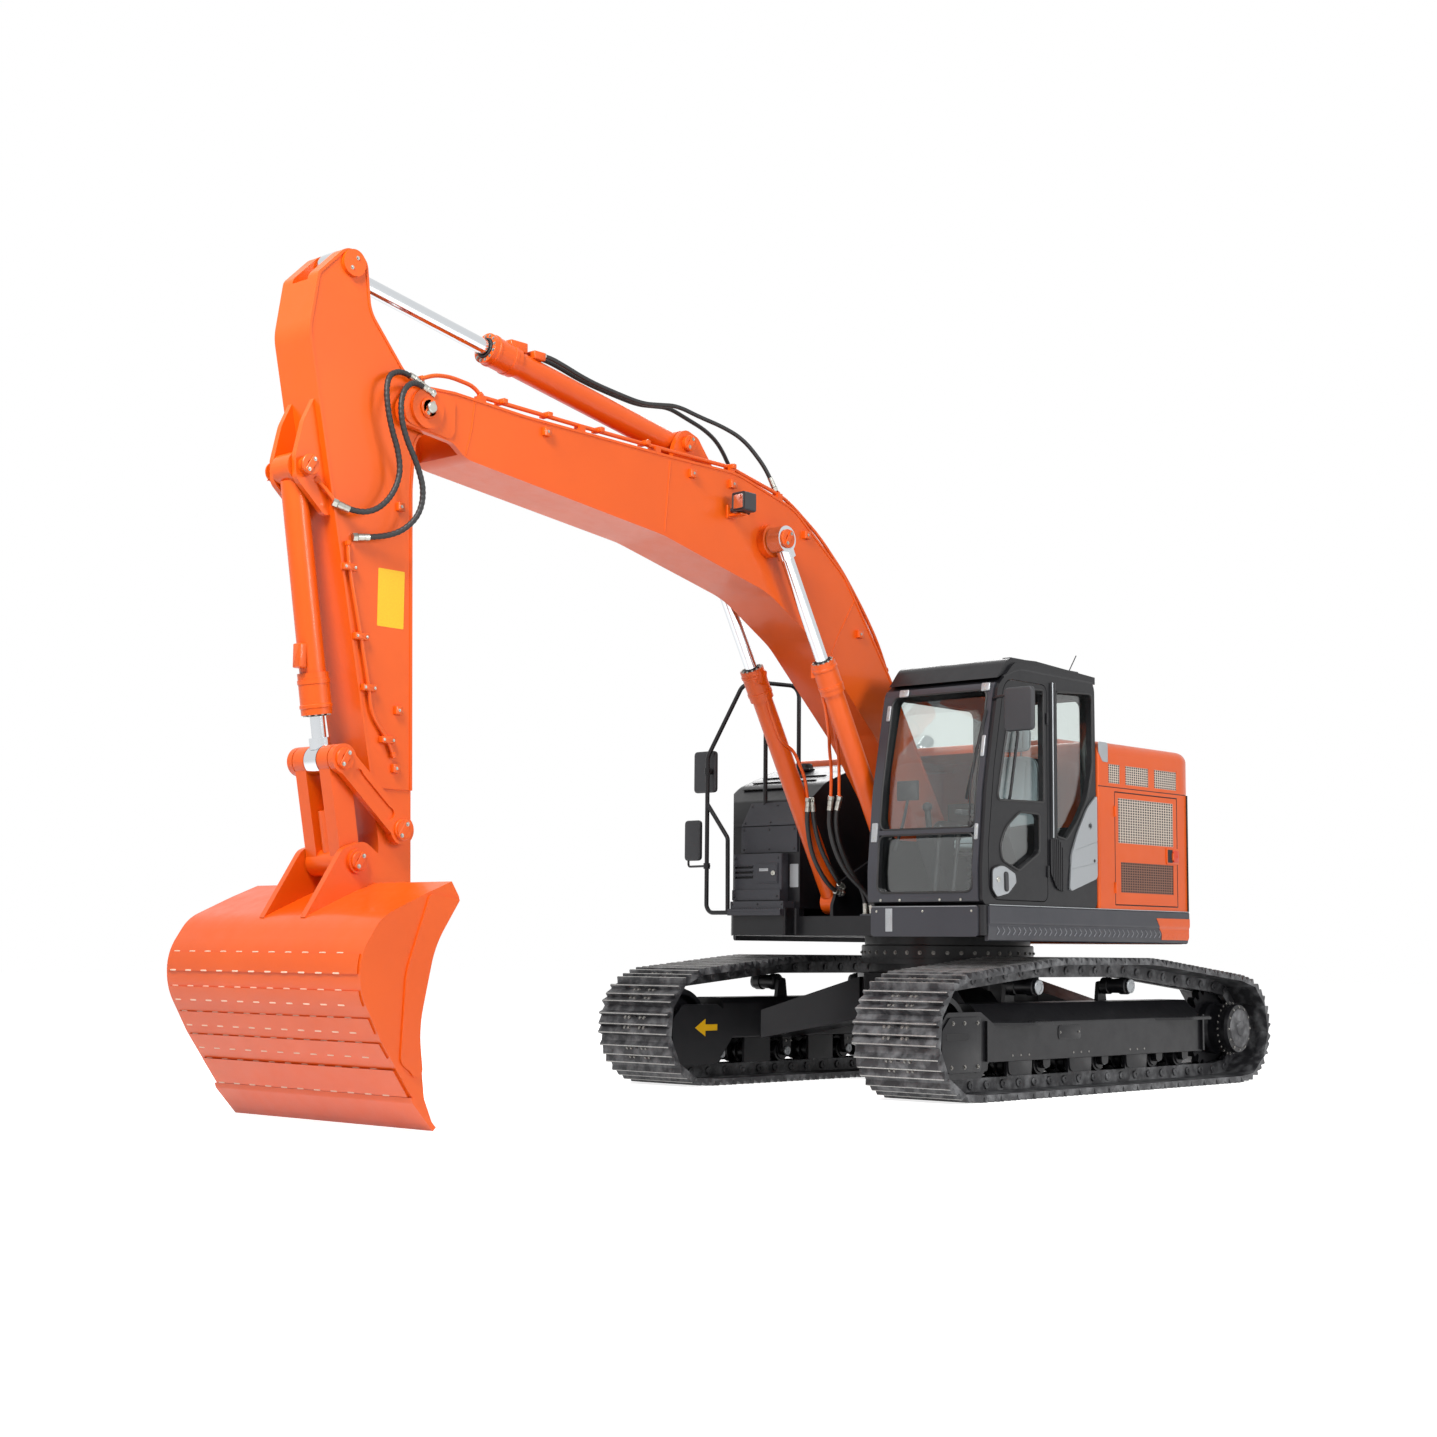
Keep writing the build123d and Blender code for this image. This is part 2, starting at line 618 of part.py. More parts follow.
def engine():
    body = box(-1050, -460, -440, 440, 1420, 2020)
    body += box(-980, -560, -400, 380, 2010, 2180)
    for y in (-380, 300):
        body += box(-1040, -980, y - 50, y + 50, DECK_BOTTOM + DECK_PLATE, 1430)
        body += box(-560, -500, y - 50, y + 50, DECK_BOTTOM + DECK_PLATE, 1430)
    return body


def exhaust():
    x, y = -1130.0, -HOOD_HALF - 180
    pipe =Pos(x, y, HOUSING_TOP + 90) * Cylinder(58, 180)
    elbow = rod_between((x, y, HOUSING_TOP + 170), (x - 90, y, HOUSING_TOP + 250), 56)
    bore = rod_between((x - 40, y, HOUSING_TOP + 205), (x - 140, y, HOUSING_TOP + 295), 48)
    return pipe + elbow + Pos(x, y, HOUSING_TOP + 172) * Sphere(57) - bore


TANK_ROWS = [
    # x, z, corner radius of the tank cover seen from the side
    (HOUSING_FRONT + 6, DECK_TOP, 0), (HOUSING_FRONT + 6, 2480, 30), (420, 2430, 300),
    (820, 2280, 260), (1000, 2144, 60), (TANK_FRONT, 1939, 40), (TANK_FRONT, DECK_TOP, 0),
]


def tank_housing():
    # black tank cover on the right, its outer front corner cut off like the deck's
    body = side_shape(TANK_ROWS, -HALF_WIDTH, BAY_RIGHT)
    outer = [e for e in body.edges() if e.center().Y < -HALF_WIDTH + 1 and e.center().Z > DECK_TOP + 5
             and e.center().X > HOUSING_FRONT + 10]
    body = fillet(outer, 60)
    corner = [(TANK_FRONT - 280, -HALF_WIDTH - 0.1, 0), (TANK_FRONT + 10, 259 - HALF_WIDTH, 0),
              (TANK_FRONT + 10, -HALF_WIDTH - 0.1, 0)]
    return body - plan_shape(corner, DECK_TOP - 5, 2600)


def step_box():
    # tool box before the tank with covers over it and treads below it
    outer = -HALF_WIDTH
    tank = TANK_FRONT + RUNNING_GAP
    body = box(tank, STEP_FRONT, outer + 317, outer + 804, DECK_TOP, 1724)
    body = fillet(body.edges().filter_by(Axis.Z).group_by(Axis.X)[-1], 20)
    body += box(tank, STEP_FRONT + 16, outer + 325, outer + 804, 1372, 1450)
    body += box(tank, RIGHT_FRONT + 12, outer + 340, outer + 870, DECK_TOP, 1362)
    for i in range(3):
        z = 1545 + i * 38
        body -= box(STEP_FRONT - 15, STEP_FRONT + 5, outer + 338, outer + 523, z - 8, z + 8)
    body += box(STEP_FRONT - 5, STEP_FRONT + 7, outer + 562, outer + 774, 1499, 1649)
    tread = box(RIGHT_FRONT + RUNNING_GAP, RIGHT_FRONT + 50, outer + 343, outer + 870, 1255, 1300)
    tread += box(RIGHT_FRONT + RUNNING_GAP, RIGHT_FRONT + 12, outer + 343, outer + 870, 1290, 1330)
    body += tread
    reach = (outer + 343, outer + 901)
    covers = grown_shape(TANK_ROWS, 12, *reach) - grown_shape(TANK_ROWS, RUNNING_GAP, *reach)
    covers &= box(1012, 1200, *reach, 1735, 2126)
    covers -= box(1050, 1200, outer, 0, 1934, 1942)
    return Compound(children=[body] + list(covers.solids()))


def side_skirts():
    # pressed bands along the deck's rim and an apron below the cab's front
    rows = [(RUNNING_GAP, -4, 0), (16, -4, 8), (18, -118, 20), (5, -134, 6), (11, -150, 8), (0, -238, 16),
            (-25, -244, 8)]
    under = DECK_BOTTOM - RUNNING_GAP
    solids = []
    for side, front in ((1, DECK_FRONT - 45), (-1, RIGHT_FRONT - CORNER_LONG - 30)):
        outline = [(HALF_WIDTH + y, DECK_TOP + z, r) for y, z, r in rows]
        outline += [(HALF_WIDTH - 25, under, 0), (HALF_WIDTH + RUNNING_GAP, under, 0)]
        skirt = front_shape(outline, DECK_REAR + RUNNING_GAP, front)
        solids.append(skirt if side > 0 else mirrored(skirt))
    apron = box(DECK_FRONT + RUNNING_GAP, DECK_FRONT + 14, BAY_LEFT + 40, HALF_WIDTH - 42, 1096, 1306)
    solids.append(fillet(apron.edges().filter_by(Axis.X), 25))
    return Compound(children=solids)


# Cab

CAB_SIDE = [
    # x, z, corner radius
    (DECK_FRONT, DECK_TOP, 60), (1600, 1560, 500), (1545, 2100, 900), (1400, 2820, 130),
    (1190, 3010, 160), (175, 2985, 110), (160, DECK_TOP, 60),
]


def cab_block(inset):
    points = [(x, CAB_RIGHT + inset, z) for x, z, r in CAB_SIDE]
    face = make_face(FilletPolyline(*points, radius=[r for x, z, r in CAB_SIDE], close=True))
    if inset > 0:
        face = offset(face, amount=-inset)
    return extrude(face, amount=CAB_LEFT - CAB_RIGHT - 2 * inset, dir=(0, 1, 0))


# Outlines on the cab's sides: x, z, corner radius
DOOR_ROWS = [
    (CAB_DOOR_REAR, CAB_DOOR_LOW, 60), (CAB_DOOR_FRONT, CAB_DOOR_LOW, 120),
    (CAB_DOOR_FRONT + 12, 1700, 300), (CAB_DOOR_FRONT - 60, 2250, 600),
    (1325, CAB_DOOR_HIGH, 120), (CAB_DOOR_REAR, CAB_DOOR_HIGH, 60),
]
DOOR_WINDOW = [
    (CAB_DOOR_REAR + 48, 2045, 25), (1420, 2030, 40), (1225, 2820, 130), (CAB_DOOR_REAR + 48, 2840, 30),
]
LOWER_WINDOW = [
    (CAB_DOOR_REAR + 105, 1960, 40), (1150, 1960, 90), (1320, 1850, 250), (1385, 1720, 120),
    (1370, 1620, 70), (1165, 1555, 50), (CAB_DOOR_REAR + 105, 1690, 60),
]
HANDLE_ROWS = [
    (1495, 1560, 50), (1370, 1592, 150), (1215, 1535, 40), (1200, 1470, 30), (1300, 1390, 60),
    (1440, 1362, 50), (1495, 1420, 40),
]
QUARTER_WINDOW = [
    (688, 2845, 40), (688, 1812, 25), (565, 1795, 35), (420, 1930, 300), (280, 2110, 300),
    (215, 2330, 300), (215, 2870, 50),
]
VENT_ROWS = [
    (780, 1790, 15), (665, 1790, 20), (600, 1690, 80), (552, 1650, 60), (590, 1420, 30),
    (700, 1438, 80), (780, 1548, 60),
]
COVER_ROWS = [
    (172, 2133, 10), (174, 1530, 40), (540, 1425, 25), (512, 1690, 200), (425, 1860, 400),
    (300, 2035, 300),
]
ROOF_ROWS = [
    (1380, 2880, 0), (1250, 3030, 120), (900, 3042, 0), (130, 3002, 0), (130, 2950, 0), (1190, 2950, 0),
]
RIGHT_WINDOW = [(300, 1780, 80), (1440, 1780, 150), (1390, 2250, 500), (1260, 2800, 100),
                (300, 2800, 80)]


def grown_shape(rows, amount, y0, y1):
    # rows: x, z, corner radius, with the outline moved outwards by amount
    points = [(x, y0, z) for x, z, r in rows]
    face = make_face(FilletPolyline(*points, radius=[r for x, z, r in rows], close=True))
    return extrude(offset(face, amount=amount), amount=y1 - y0, dir=(0, 1, 0))


def screen_field(low, high, growth):
    # the front windows' outline between two heights, grown by a margin
    y0, y1 = SCREEN_Y[0] - growth, SCREEN_Y[1] + growth
    z0, z1 = low - growth, high + growth
    return front_shape([(y0, z0, 60), (y1, z0, 60), (y1, z1, 60), (y0, z1, 60)], 1300, 1700)


def cab_windows():
    left = (CAB_LEFT - 80, CAB_LEFT + 20)
    right = (CAB_RIGHT - 20, CAB_RIGHT + 80)
    return [
        side_shape(QUARTER_WINDOW, *left),
        side_shape(RIGHT_WINDOW, *right),
        front_shape([(570, 1900, 80), (1350, 1900, 80), (1350, 2840, 80), (570, 2840, 80)], 100, 260),
        screen_field(SCREEN_LOW, SCREEN_HIGH, 0),
        plan_shape([(560, 640, 60), (1080, 640, 60), (1080, 1290, 60), (560, 1290, 60)], 2900, 3100),
    ]


def cab_shell():
    body = cab_block(0) - cab_block(CAB_WALL)
    body -= side_shape(DOOR_ROWS, CAB_LEFT - 60, CAB_LEFT + 20)
    # rounded pillar behind the door, from the vent up to the roof, and the ribbed vent below it
    pillar = rod_between((PILLAR_X, CAB_LEFT - 18, 1790), (PILLAR_X, CAB_LEFT - 18, 2905), 36)
    vent = side_shape(VENT_ROWS, CAB_LEFT - 5, CAB_LEFT + VENT_PROUD)
    for i in range(VENT_SLOTS):
        x = 630 + i * VENT_PITCH
        vent -= box(x, x + 9, CAB_LEFT + 4, CAB_LEFT + VENT_PROUD + 1, 1400, 1800)
    body += (pillar + vent) - cab_block(CAB_WALL)
    # roof cap with a short visor over the front windows
    body += side_shape(ROOF_ROWS, CAB_RIGHT + 22, CAB_LEFT - 22) - cab_block(CAB_WALL)
    for cut in cab_windows():
        body -= cut
    return knuckled(body, *CAB_HINGE, CAB_HINGE_Z, True)


def screen_frame():
    # pressed frame round the front windows, with the bar that parts them
    reach = (CAB_RIGHT + 8, CAB_LEFT - 30)
    skin = grown_shape(CAB_SIDE, RUNNING_GAP + SCREEN_PROUD, *reach) - grown_shape(CAB_SIDE, RUNNING_GAP, *reach)
    band = skin & box(1330, 1700, *reach, DECK_TOP + 25, SCREEN_HIGH + 45)
    hole = screen_field(SCREEN_LOW, SCREEN_HIGH, -4)
    bar = box(1300, 1700, SCREEN_Y[0] - 10, SCREEN_Y[1] + 10, SCREEN_SPLIT - 16, SCREEN_SPLIT + 16)
    return band - (hole - bar)


def cab_cover():
    # bright cover over the heater behind the cab door, parted by two seams
    body = side_shape(COVER_ROWS, CAB_LEFT + RUNNING_GAP, CAB_LEFT + VENT_PROUD)
    for start, end in (((500, 1716), (160, 1800)), ((540, 1585), (160, 1645))):
        body -= rod_between((start[0], CAB_LEFT + VENT_PROUD, start[1]),
                            (end[0], CAB_LEFT + VENT_PROUD, end[1]), 3)
    body -= cross_pin((267, 1906), 24, CAB_LEFT + 6, CAB_LEFT + VENT_PROUD + 1)
    return body + cross_pin((267, 1906), 15, CAB_LEFT + 5, CAB_LEFT + VENT_PROUD - 2)


def cab_glass():
    liner = cab_block(CAB_WALL) - cab_block(CAB_WALL + GLASS)
    edge = 22.0
    left = (CAB_LEFT - 80, CAB_LEFT + 20)
    right = (CAB_RIGHT - 20, CAB_RIGHT + 80)
    fields = [
        grown_shape(QUARTER_WINDOW, edge, *left),
        grown_shape(RIGHT_WINDOW, edge, *right),
        front_shape([(548, 1878, 80), (1372, 1878, 80), (1372, 2862, 80), (548, 2862, 80)], 150, 260),
        screen_field(SCREEN_LOW, SCREEN_SPLIT - edge, 20),
        screen_field(SCREEN_SPLIT + edge, SCREEN_HIGH, 20),
        plan_shape([(538, 618, 60), (1102, 618, 60), (1102, 1312, 60), (538, 1312, 60)], 2900, 3000),
    ]
    return Compound(children=[liner & field for field in fields])


def cab_door():
    skin = cab_block(0) - cab_block(CAB_WALL)
    frame = skin & grown_shape(DOOR_ROWS, -PANEL_GAP, CAB_LEFT - 60, CAB_LEFT + 20)
    for window in (DOOR_WINDOW, LOWER_WINDOW):
        frame -= side_shape(window, CAB_LEFT - 80, CAB_LEFT + 20)
    # teardrop handle plate with a finger recess and a bar across it
    frame += side_shape(HANDLE_ROWS, CAB_LEFT - 4, CAB_LEFT + 9)
    recess = side_shape([(1300, 1440, 25), (1230, 1440, 25), (1230, 1560, 25), (1300, 1560, 25)],
                        CAB_LEFT - 25, CAB_LEFT + 10)
    frame = frame - recess + box(1276, 1294, CAB_LEFT - 27, CAB_LEFT + 7, 1445, 1555)
    return knuckled(frame, *CAB_HINGE, CAB_HINGE_Z, False)


def cab_door_glass():
    y1 = CAB_LEFT - CAB_WALL
    panes = [grown_shape(window, 18, y1 - GLASS, y1) for window in (DOOR_WINDOW, LOWER_WINDOW)]
    return Compound(children=panes)


def seat():
    floor = DECK_TOP + CAB_WALL
    y0, y1 = 720.0, 1200.0
    base = box(560, 900, y0 + 80, y1 - 80, floor, 1700)
    cushion = side_shape([(480, 1690, 40), (1010, 1690, 60), (1010, 1800, 50), (600, 1800, 30),
                          (480, 1830, 30)], y0, y1)
    back = side_shape([(470, 1800, 40), (610, 1800, 20), (560, 2430, 60), (430, 2430, 60)], y0 + 10,
                      y1 - 10)
    head = side_shape([(420, 2440, 30), (520, 2440, 30), (500, 2640, 40), (410, 2640, 40)], y0 + 110,
                      y1 - 110)
    return base + cushion + back + head + box(445, 485, 930, 990, 2400, 2460)


def consoles():
    floor = DECK_TOP + CAB_WALL
    solids = []
    for y0, y1 in ((540.0, 690.0), (1230.0, 1345.0)):
        yc = (y0 + y1) / 2
        body = side_shape([(520, floor, 0), (880, floor, 30), (1120, 1790, 40), (1120, 1850, 30),
                           (520, 1930, 30)], y0, y1)
        body += rod_between((1060, yc, 1840), (1085, yc, 2010), 22)
        body += Pos(1087, yc, 2030) * Sphere(36)
        solids.append(body)
    pedals = box(1300, 1420, 800, 1120, floor, floor + 40)
    for y in (880, 1040):
        pedals += rod_between((1360, y, floor + 20), (1300, y, floor + 420), 14)
    solids.append(pedals)
    return Compound(children=solids)


def mirrors():
    left = rod_between((1395, 1400, 2720), (1482, 1590, 2740), 11)
    left += box(1462, 1502, 1565, 1805, 2485, 2785)
    left -= cab_block(0)
    # two pods on the right handrail's post, each with a clamp about the tube
    upper = fillet(box(RAIL_X - 92, RAIL_X - 52, RAIL_Y - 198, RAIL_Y + 33, 2212, 2538).edges(), 14)
    upper += box(RAIL_X - 60, RAIL_X + 22, RAIL_Y - 24, RAIL_Y + 24, 2350, 2395)
    lower = fillet(box(RAIL_X - 60, RAIL_X - 20, RAIL_Y - 263, RAIL_Y - 95, 1683, 1999).edges(), 14)
    lower += tube_along([(RAIL_X - 40, RAIL_Y - 230, 1700, 0), (RAIL_X - 40, RAIL_Y - 230, 1638, 25),
                         (RAIL_X - 8, RAIL_Y - 10, 1638, 0)], 9)
    lower += box(RAIL_X - 22, RAIL_X + 22, RAIL_Y - 24, RAIL_Y + 24, 1618, 1658)
    post = Pos(RAIL_X, RAIL_Y, 2000) * Cylinder(RAIL_TUBE + RUNNING_GAP, 1400)
    return Compound(children=[left, upper - post, lower - post])


def tube_along(rows, tube):
    # rows: x, y, z, bend radius at each inner point
    points = [row[:3] for row in rows]
    radii = [row[3] for row in rows[1:-1]]
    path = FilletPolyline(*points, radius=radii) if radii else Polyline(*points)
    return sweep(Plane(origin=path @ 0, z_dir=path % 0) * Circle(tube), path=path)


def handrail():
    # a loop from the lower tread over the tank, a brace inside its post and a leg under its top
    foot = CORNER_WIDE - HALF_WIDTH - RUNNING_GAP
    lines = [
        [(RAIL_X, foot, 1278, 0), (RAIL_X, RAIL_Y, 1278, 70), (RAIL_X, RAIL_Y, 2485, 150),
         (1120, RAIL_Y + 230, 3050, 90), (1035, RAIL_Y + 376, 3060, 60), (700, RAIL_Y + 447, 3060, 90),
         (700, RAIL_Y + 447, 2200, 0)],
        [(RAIL_X, RAIL_Y, 2120, 0), (RAIL_X, RAIL_Y + 215, 1849, 60), (RAIL_X, RAIL_Y + 220, 1278, 0)],
        [(1020, RAIL_Y + 380, 3060, 0), (1020, RAIL_Y + 380, 2000, 0)],
    ]
    body = tube_along(lines[0], RAIL_TUBE)
    for line in lines[1:]:
        body += tube_along(line, RAIL_TUBE)
    return body - grown_shape(TANK_ROWS, 12 + RUNNING_GAP, -HALF_WIDTH, BAY_RIGHT)


# Boom, arm, bucket and cylinders

BOOM_ROWS = [
    # x, z, corner radius
    (BOOM_FOOT[0] - 20, BOOM_FOOT[1] + 140, 120), (1005, 3020, 500), (1537, 3700, 400),
    (2116, 4110, 500), (2732, 4262, 800), (3404, 4262, 900), (4705, 4282, 0), (5290, 4315, 100),
    (5630, 4300, 100), (5720, 4160, 80), (5700, 4050, 60), (5300, 4000, 80), (5190, 3920, 200),
    (3457, 3715, 900), (2387, 3465, 900), (1884, 3180, 600), (1193, 2560, 300),
    (BOOM_FOOT[0] + 150, BOOM_FOOT[1] - 100, 140), (BOOM_FOOT[0] - 90, BOOM_FOOT[1] - 60, 90),
]


def plated(body, rows, rim, half, depth):
    # side plates set in between the top and bottom plates' edges
    for y in (half, -half):
        body -= grown_shape(rows, -rim, y - depth, y + depth)
    return body


PLATE_RIM = 16.0
PLATE_DEPTH = 6.0
PIPE_RADIUS = 14.0
PIPE_Y = 170.0
PIPE_PADS = [
    # x, z of the pipes' middle over each saddle
    (2250, 4195), (2760, 4300), (3500, 4306), (4200, 4318), (5050, 4340),
]


def boom():
    body = plated(side_shape(BOOM_ROWS, -BOOM_HALF, BOOM_HALF), BOOM_ROWS, PLATE_RIM, BOOM_HALF, PLATE_DEPTH)
    # fork at the tip, wide enough for the arm
    inner = BOOM_HALF - BOOM_EAR
    root = BOOM_HALF - 2 * PLATE_DEPTH
    body -= box(5225, 5800, -inner, inner, 3700, 4500)
    for side in (1, -1):
        boss = cross_pin(BOOM_CYLINDER_EYE, 115, root, BOOM_CYLINDER_Y - 58 - SIDE_GAP)
        boss += cross_pin(BOOM_TIP, 120, root, BOOM_HALF + 25)
        boss += side_shape([(5290, 4010, 60), (5290, 4285, 60), (5640, 4280, 90), (5690, 4160, 80),
                            (5660, 4060, 60)], root, BOOM_HALF + PLATE_DEPTH)
        body += boss if side > 0 else mirrored(boss)
    body += cross_pin(BOOM_TIP, PIN_RADIUS, -BOOM_HALF - 40, BOOM_HALF + 40)
    # bracket that carries the arm cylinder
    x, z = ARM_CYLINDER_BASE
    for y0 in (-130, 92):
        body += side_shape([(x - 330, 4200, 0), (x - 110, z + 60, 60), (x + 40, z + 110, 90),
                            (x + 120, z - 20, 80), (x + 150, 4230, 0)], y0, y0 + 38)
    body += cross_pin(ARM_CYLINDER_BASE, PIN_RADIUS, -150, 150)
    for px, pz in PIPE_PADS:
        for y in (-PIPE_Y, PIPE_Y):
            body += box(px - 25, px + 25, y - 28, y + 28, pz - 70, pz)
    body -= pipe_runs(PIPE_RADIUS + RUNNING_GAP)
    body -= cross_pin(BOOM_FOOT, PIN_RADIUS + RUNNING_GAP, -BOOM_HALF - 5, BOOM_HALF + 5)
    return body


def toward(start, end, distance):
    # the place at a distance from start towards end, both (x, z)
    length = math.hypot(end[0] - start[0], end[1] - start[1])
    share = distance / length
    return (start[0] + (end[0] - start[0]) * share, start[1] + (end[1] - start[1]) * share)


def spar(start, end, near, far, radius, y):
    # a round bar on the line between two pins, from one distance to another
    a = toward(start, end, near)
    b = toward(start, end, far)
    return rod_between((a[0], y, a[1]), (b[0], y, b[1]), radius)


def barrel(start, end, y, length, radius, rod_radius, eye_half, eye_radius):
    # closed tube with a gland, bored for its rod, and an eye on its foot pin
    body = spar(start, end, eye_radius - 20, length, radius, y)
    body += spar(start, end, length - 210, length + 30, radius + 14, y)
    body += cross_pin(start, eye_radius, y - eye_half, y + eye_half)
    body -= spar(start, end, eye_radius + 25, length + 40, rod_radius + 1, y)
    body -= cross_pin(start, PIN_RADIUS + RUNNING_GAP, y - eye_half - 5, y + eye_half + 5)
    return body


def rod(start, end, y, reach, rod_radius, eye_half, eye_radius):
    # polished bar with a solid eye that holds its own pin
    length = math.hypot(end[0] - start[0], end[1] - start[1])
    body = spar(end, start, 0, reach, rod_radius, y)
    body += cross_pin(end, eye_radius, y - eye_half, y + eye_half)
    return body + spar(end, start, eye_radius - 20, eye_radius + 45, rod_radius + 18, y)


ARM_ROWS = [
    # x, z, corner radius
    (6088, 5030, 100), (6290, 4830, 60), (6345, 4488, 300), (6180, 3699, 900), (5863, 2169, 1200),
    (5735, 1583, 300), (5760, 1200, 110), (5600, 1120, 110), (5490, 1280, 130), (5509, 1927, 900),
    (5560, 3694, 900), (5540, 4000, 100), (5390, 4060, 130), (5390, 4280, 130), (5640, 4380, 120),
    (5901, 4682, 200), (5940, 4990, 90),
]


def arm():
    body = plated(side_shape(ARM_ROWS, -ARM_HALF, ARM_HALF), ARM_ROWS, PLATE_RIM, ARM_HALF, PLATE_DEPTH)
    # narrower nose between the bucket's ears
    for side in (1, -1):
        cut = box(5300, 6000, ARM_NOSE_HALF, ARM_HALF + 10, 1000, 1900)
        body -= cut if side > 0 else mirrored(cut)
    # slot for the arm cylinder's eye, open at the top
    slot = [(5700, 5200, 0), (5700, 4500, 0), (5900, 4640, 60), (6060, 4800, 60), (6420, 4800, 0),
            (6420, 5200, 0)]
    body -= side_shape(slot, -EYE_HALF - SIDE_GAP - 10, EYE_HALF + SIDE_GAP + 10)
    body -= cross_pin(BOOM_TIP, PIN_RADIUS + RUNNING_GAP, -ARM_HALF - 5, ARM_HALF + 5)
    body -= cross_pin(BUCKET_PIN, PIN_RADIUS + RUNNING_GAP, -ARM_HALF - 5, ARM_HALF + 5)
    for side in (1, -1):
        root = ARM_HALF - 2 * PLATE_DEPTH
        head = cross_pin(ARM_CYLINDER_EYE, 80, root, ARM_HALF + 18)
        head += cross_pin(BOOM_TIP, 118, root, ARM_HALF + 4) - cross_pin(
            BOOM_TIP, PIN_RADIUS + RUNNING_GAP, root - 5, ARM_HALF + 5)
        head += cross_pin(LINK_FOOT, 80, ARM_NOSE_HALF - 5, ARM_NOSE_HALF + 10)
        head += cross_pin(LINK_FOOT, PIN_RADIUS, ARM_NOSE_HALF - 5, BUCKET_EAR_OUT + 20)
        x, z = BUCKET_CYLINDER_BASE
        ear = side_shape([(6190, 4250, 60), (6330, 3960, 200), (x + 70, z + 50, 70),
                          (x + 60, z - 80, 70), (6150, 3420, 60), (6050, 3500, 0), (6100, 4200, 0)],
                         84, 122)
        body += head if side > 0 else mirrored(head)
        body += ear if side > 0 else mirrored(ear)
    body += cross_pin(BUCKET_CYLINDER_BASE, PIN_RADIUS, -145, 145)
    return body


def link_outline(start, end, start_radius, end_radius, y0, y1):
    # a flat bar with round ends about two pins
    body = cross_pin(start, start_radius, y0, y1) + cross_pin(end, end_radius, y0, y1)
    length = math.hypot(end[0] - start[0], end[1] - start[1])
    ux, uz = (end[0] - start[0]) / length, (end[1] - start[1]) / length
    corners = [
        (start[0] - uz * start_radius * 0.85, y0, start[1] + ux * start_radius * 0.85),
        (end[0] - uz * end_radius * 0.85, y0, end[1] + ux * end_radius * 0.85),
        (end[0] + uz * end_radius * 0.85, y0, end[1] - ux * end_radius * 0.85),
        (start[0] + uz * start_radius * 0.85, y0, start[1] - ux * start_radius * 0.85),
    ]
    return body + extrude(make_face(Polyline(*corners, close=True)), amount=y1 - y0, dir=(0, 1, 0))


def side_links():
    y0 = BUCKET_EAR_IN
    body = link_outline(LINK_FOOT, BUCKET_CYLINDER_EYE, 85, 85, y0, BUCKET_EAR_OUT)
    body -= cross_pin(LINK_FOOT, PIN_RADIUS + RUNNING_GAP, y0 - 5, BUCKET_EAR_OUT + 5)
    # long hollow in the outer face
    near = toward(LINK_FOOT, BUCKET_CYLINDER_EYE, 135)
    far = toward(BUCKET_CYLINDER_EYE, LINK_FOOT, 135)
    body -= link_outline(near, far, 38, 38, BUCKET_EAR_OUT - 12, BUCKET_EAR_OUT + 5)
    return Compound(children=[body, mirrored(body)])


def bucket_link():
    # two cheeks about the rod's eye, joined below it
    cheek = link_outline(BUCKET_LINK_PIN, BUCKET_CYLINDER_EYE, 80, 85, FORK_IN, FORK_OUT)
    body = cheek + mirrored(cheek)
    body += cross_pin(BUCKET_LINK_PIN, 80, -FORK_OUT, FORK_OUT)
    near = toward(BUCKET_LINK_PIN, BUCKET_CYLINDER_EYE, 60)
    far = toward(BUCKET_LINK_PIN, BUCKET_CYLINDER_EYE, 300)
    body += rod_between((near[0], 0, near[1]), (far[0], 0, far[1]), 55)
    body -= cross_pin(BUCKET_LINK_PIN, PIN_RADIUS + RUNNING_GAP, -FORK_OUT - 5, FORK_OUT + 5)
    return body


BUCKET_BACK = [
    # x, z, corner radius along the outside of the shell from the lip to the top
    (5905, 20, 0), (6045, 168, 200), (6282, 493, 500), (6430, 750, 350), (6435, 950, 300),
    (6300, 1150, 250), (6000, 1280, 300), (5815, 1352, 0),
]
BUCKET_MOUTH = [(5750, 1255, 40), (5930, 1000, 560), (6030, 560, 650), (5979, 184, 80)]
WEAR_BANDS = [
    # low and high z, height over the shell
    (848, 954, 8), (679, 758, 8), (532, 612, 8), (400, 480, 8), (193, 337, 12),
]
SIDE_CUTTER = [
    # x, z, corner radius
    (5756, 1258, 10), (5975, 1280, 30), (6130, 859, 400), (6156, 376, 60), (6085, 330, 40),
    (5981, 190, 40), (6032, 560, 650), (5932, 1000, 560),
]


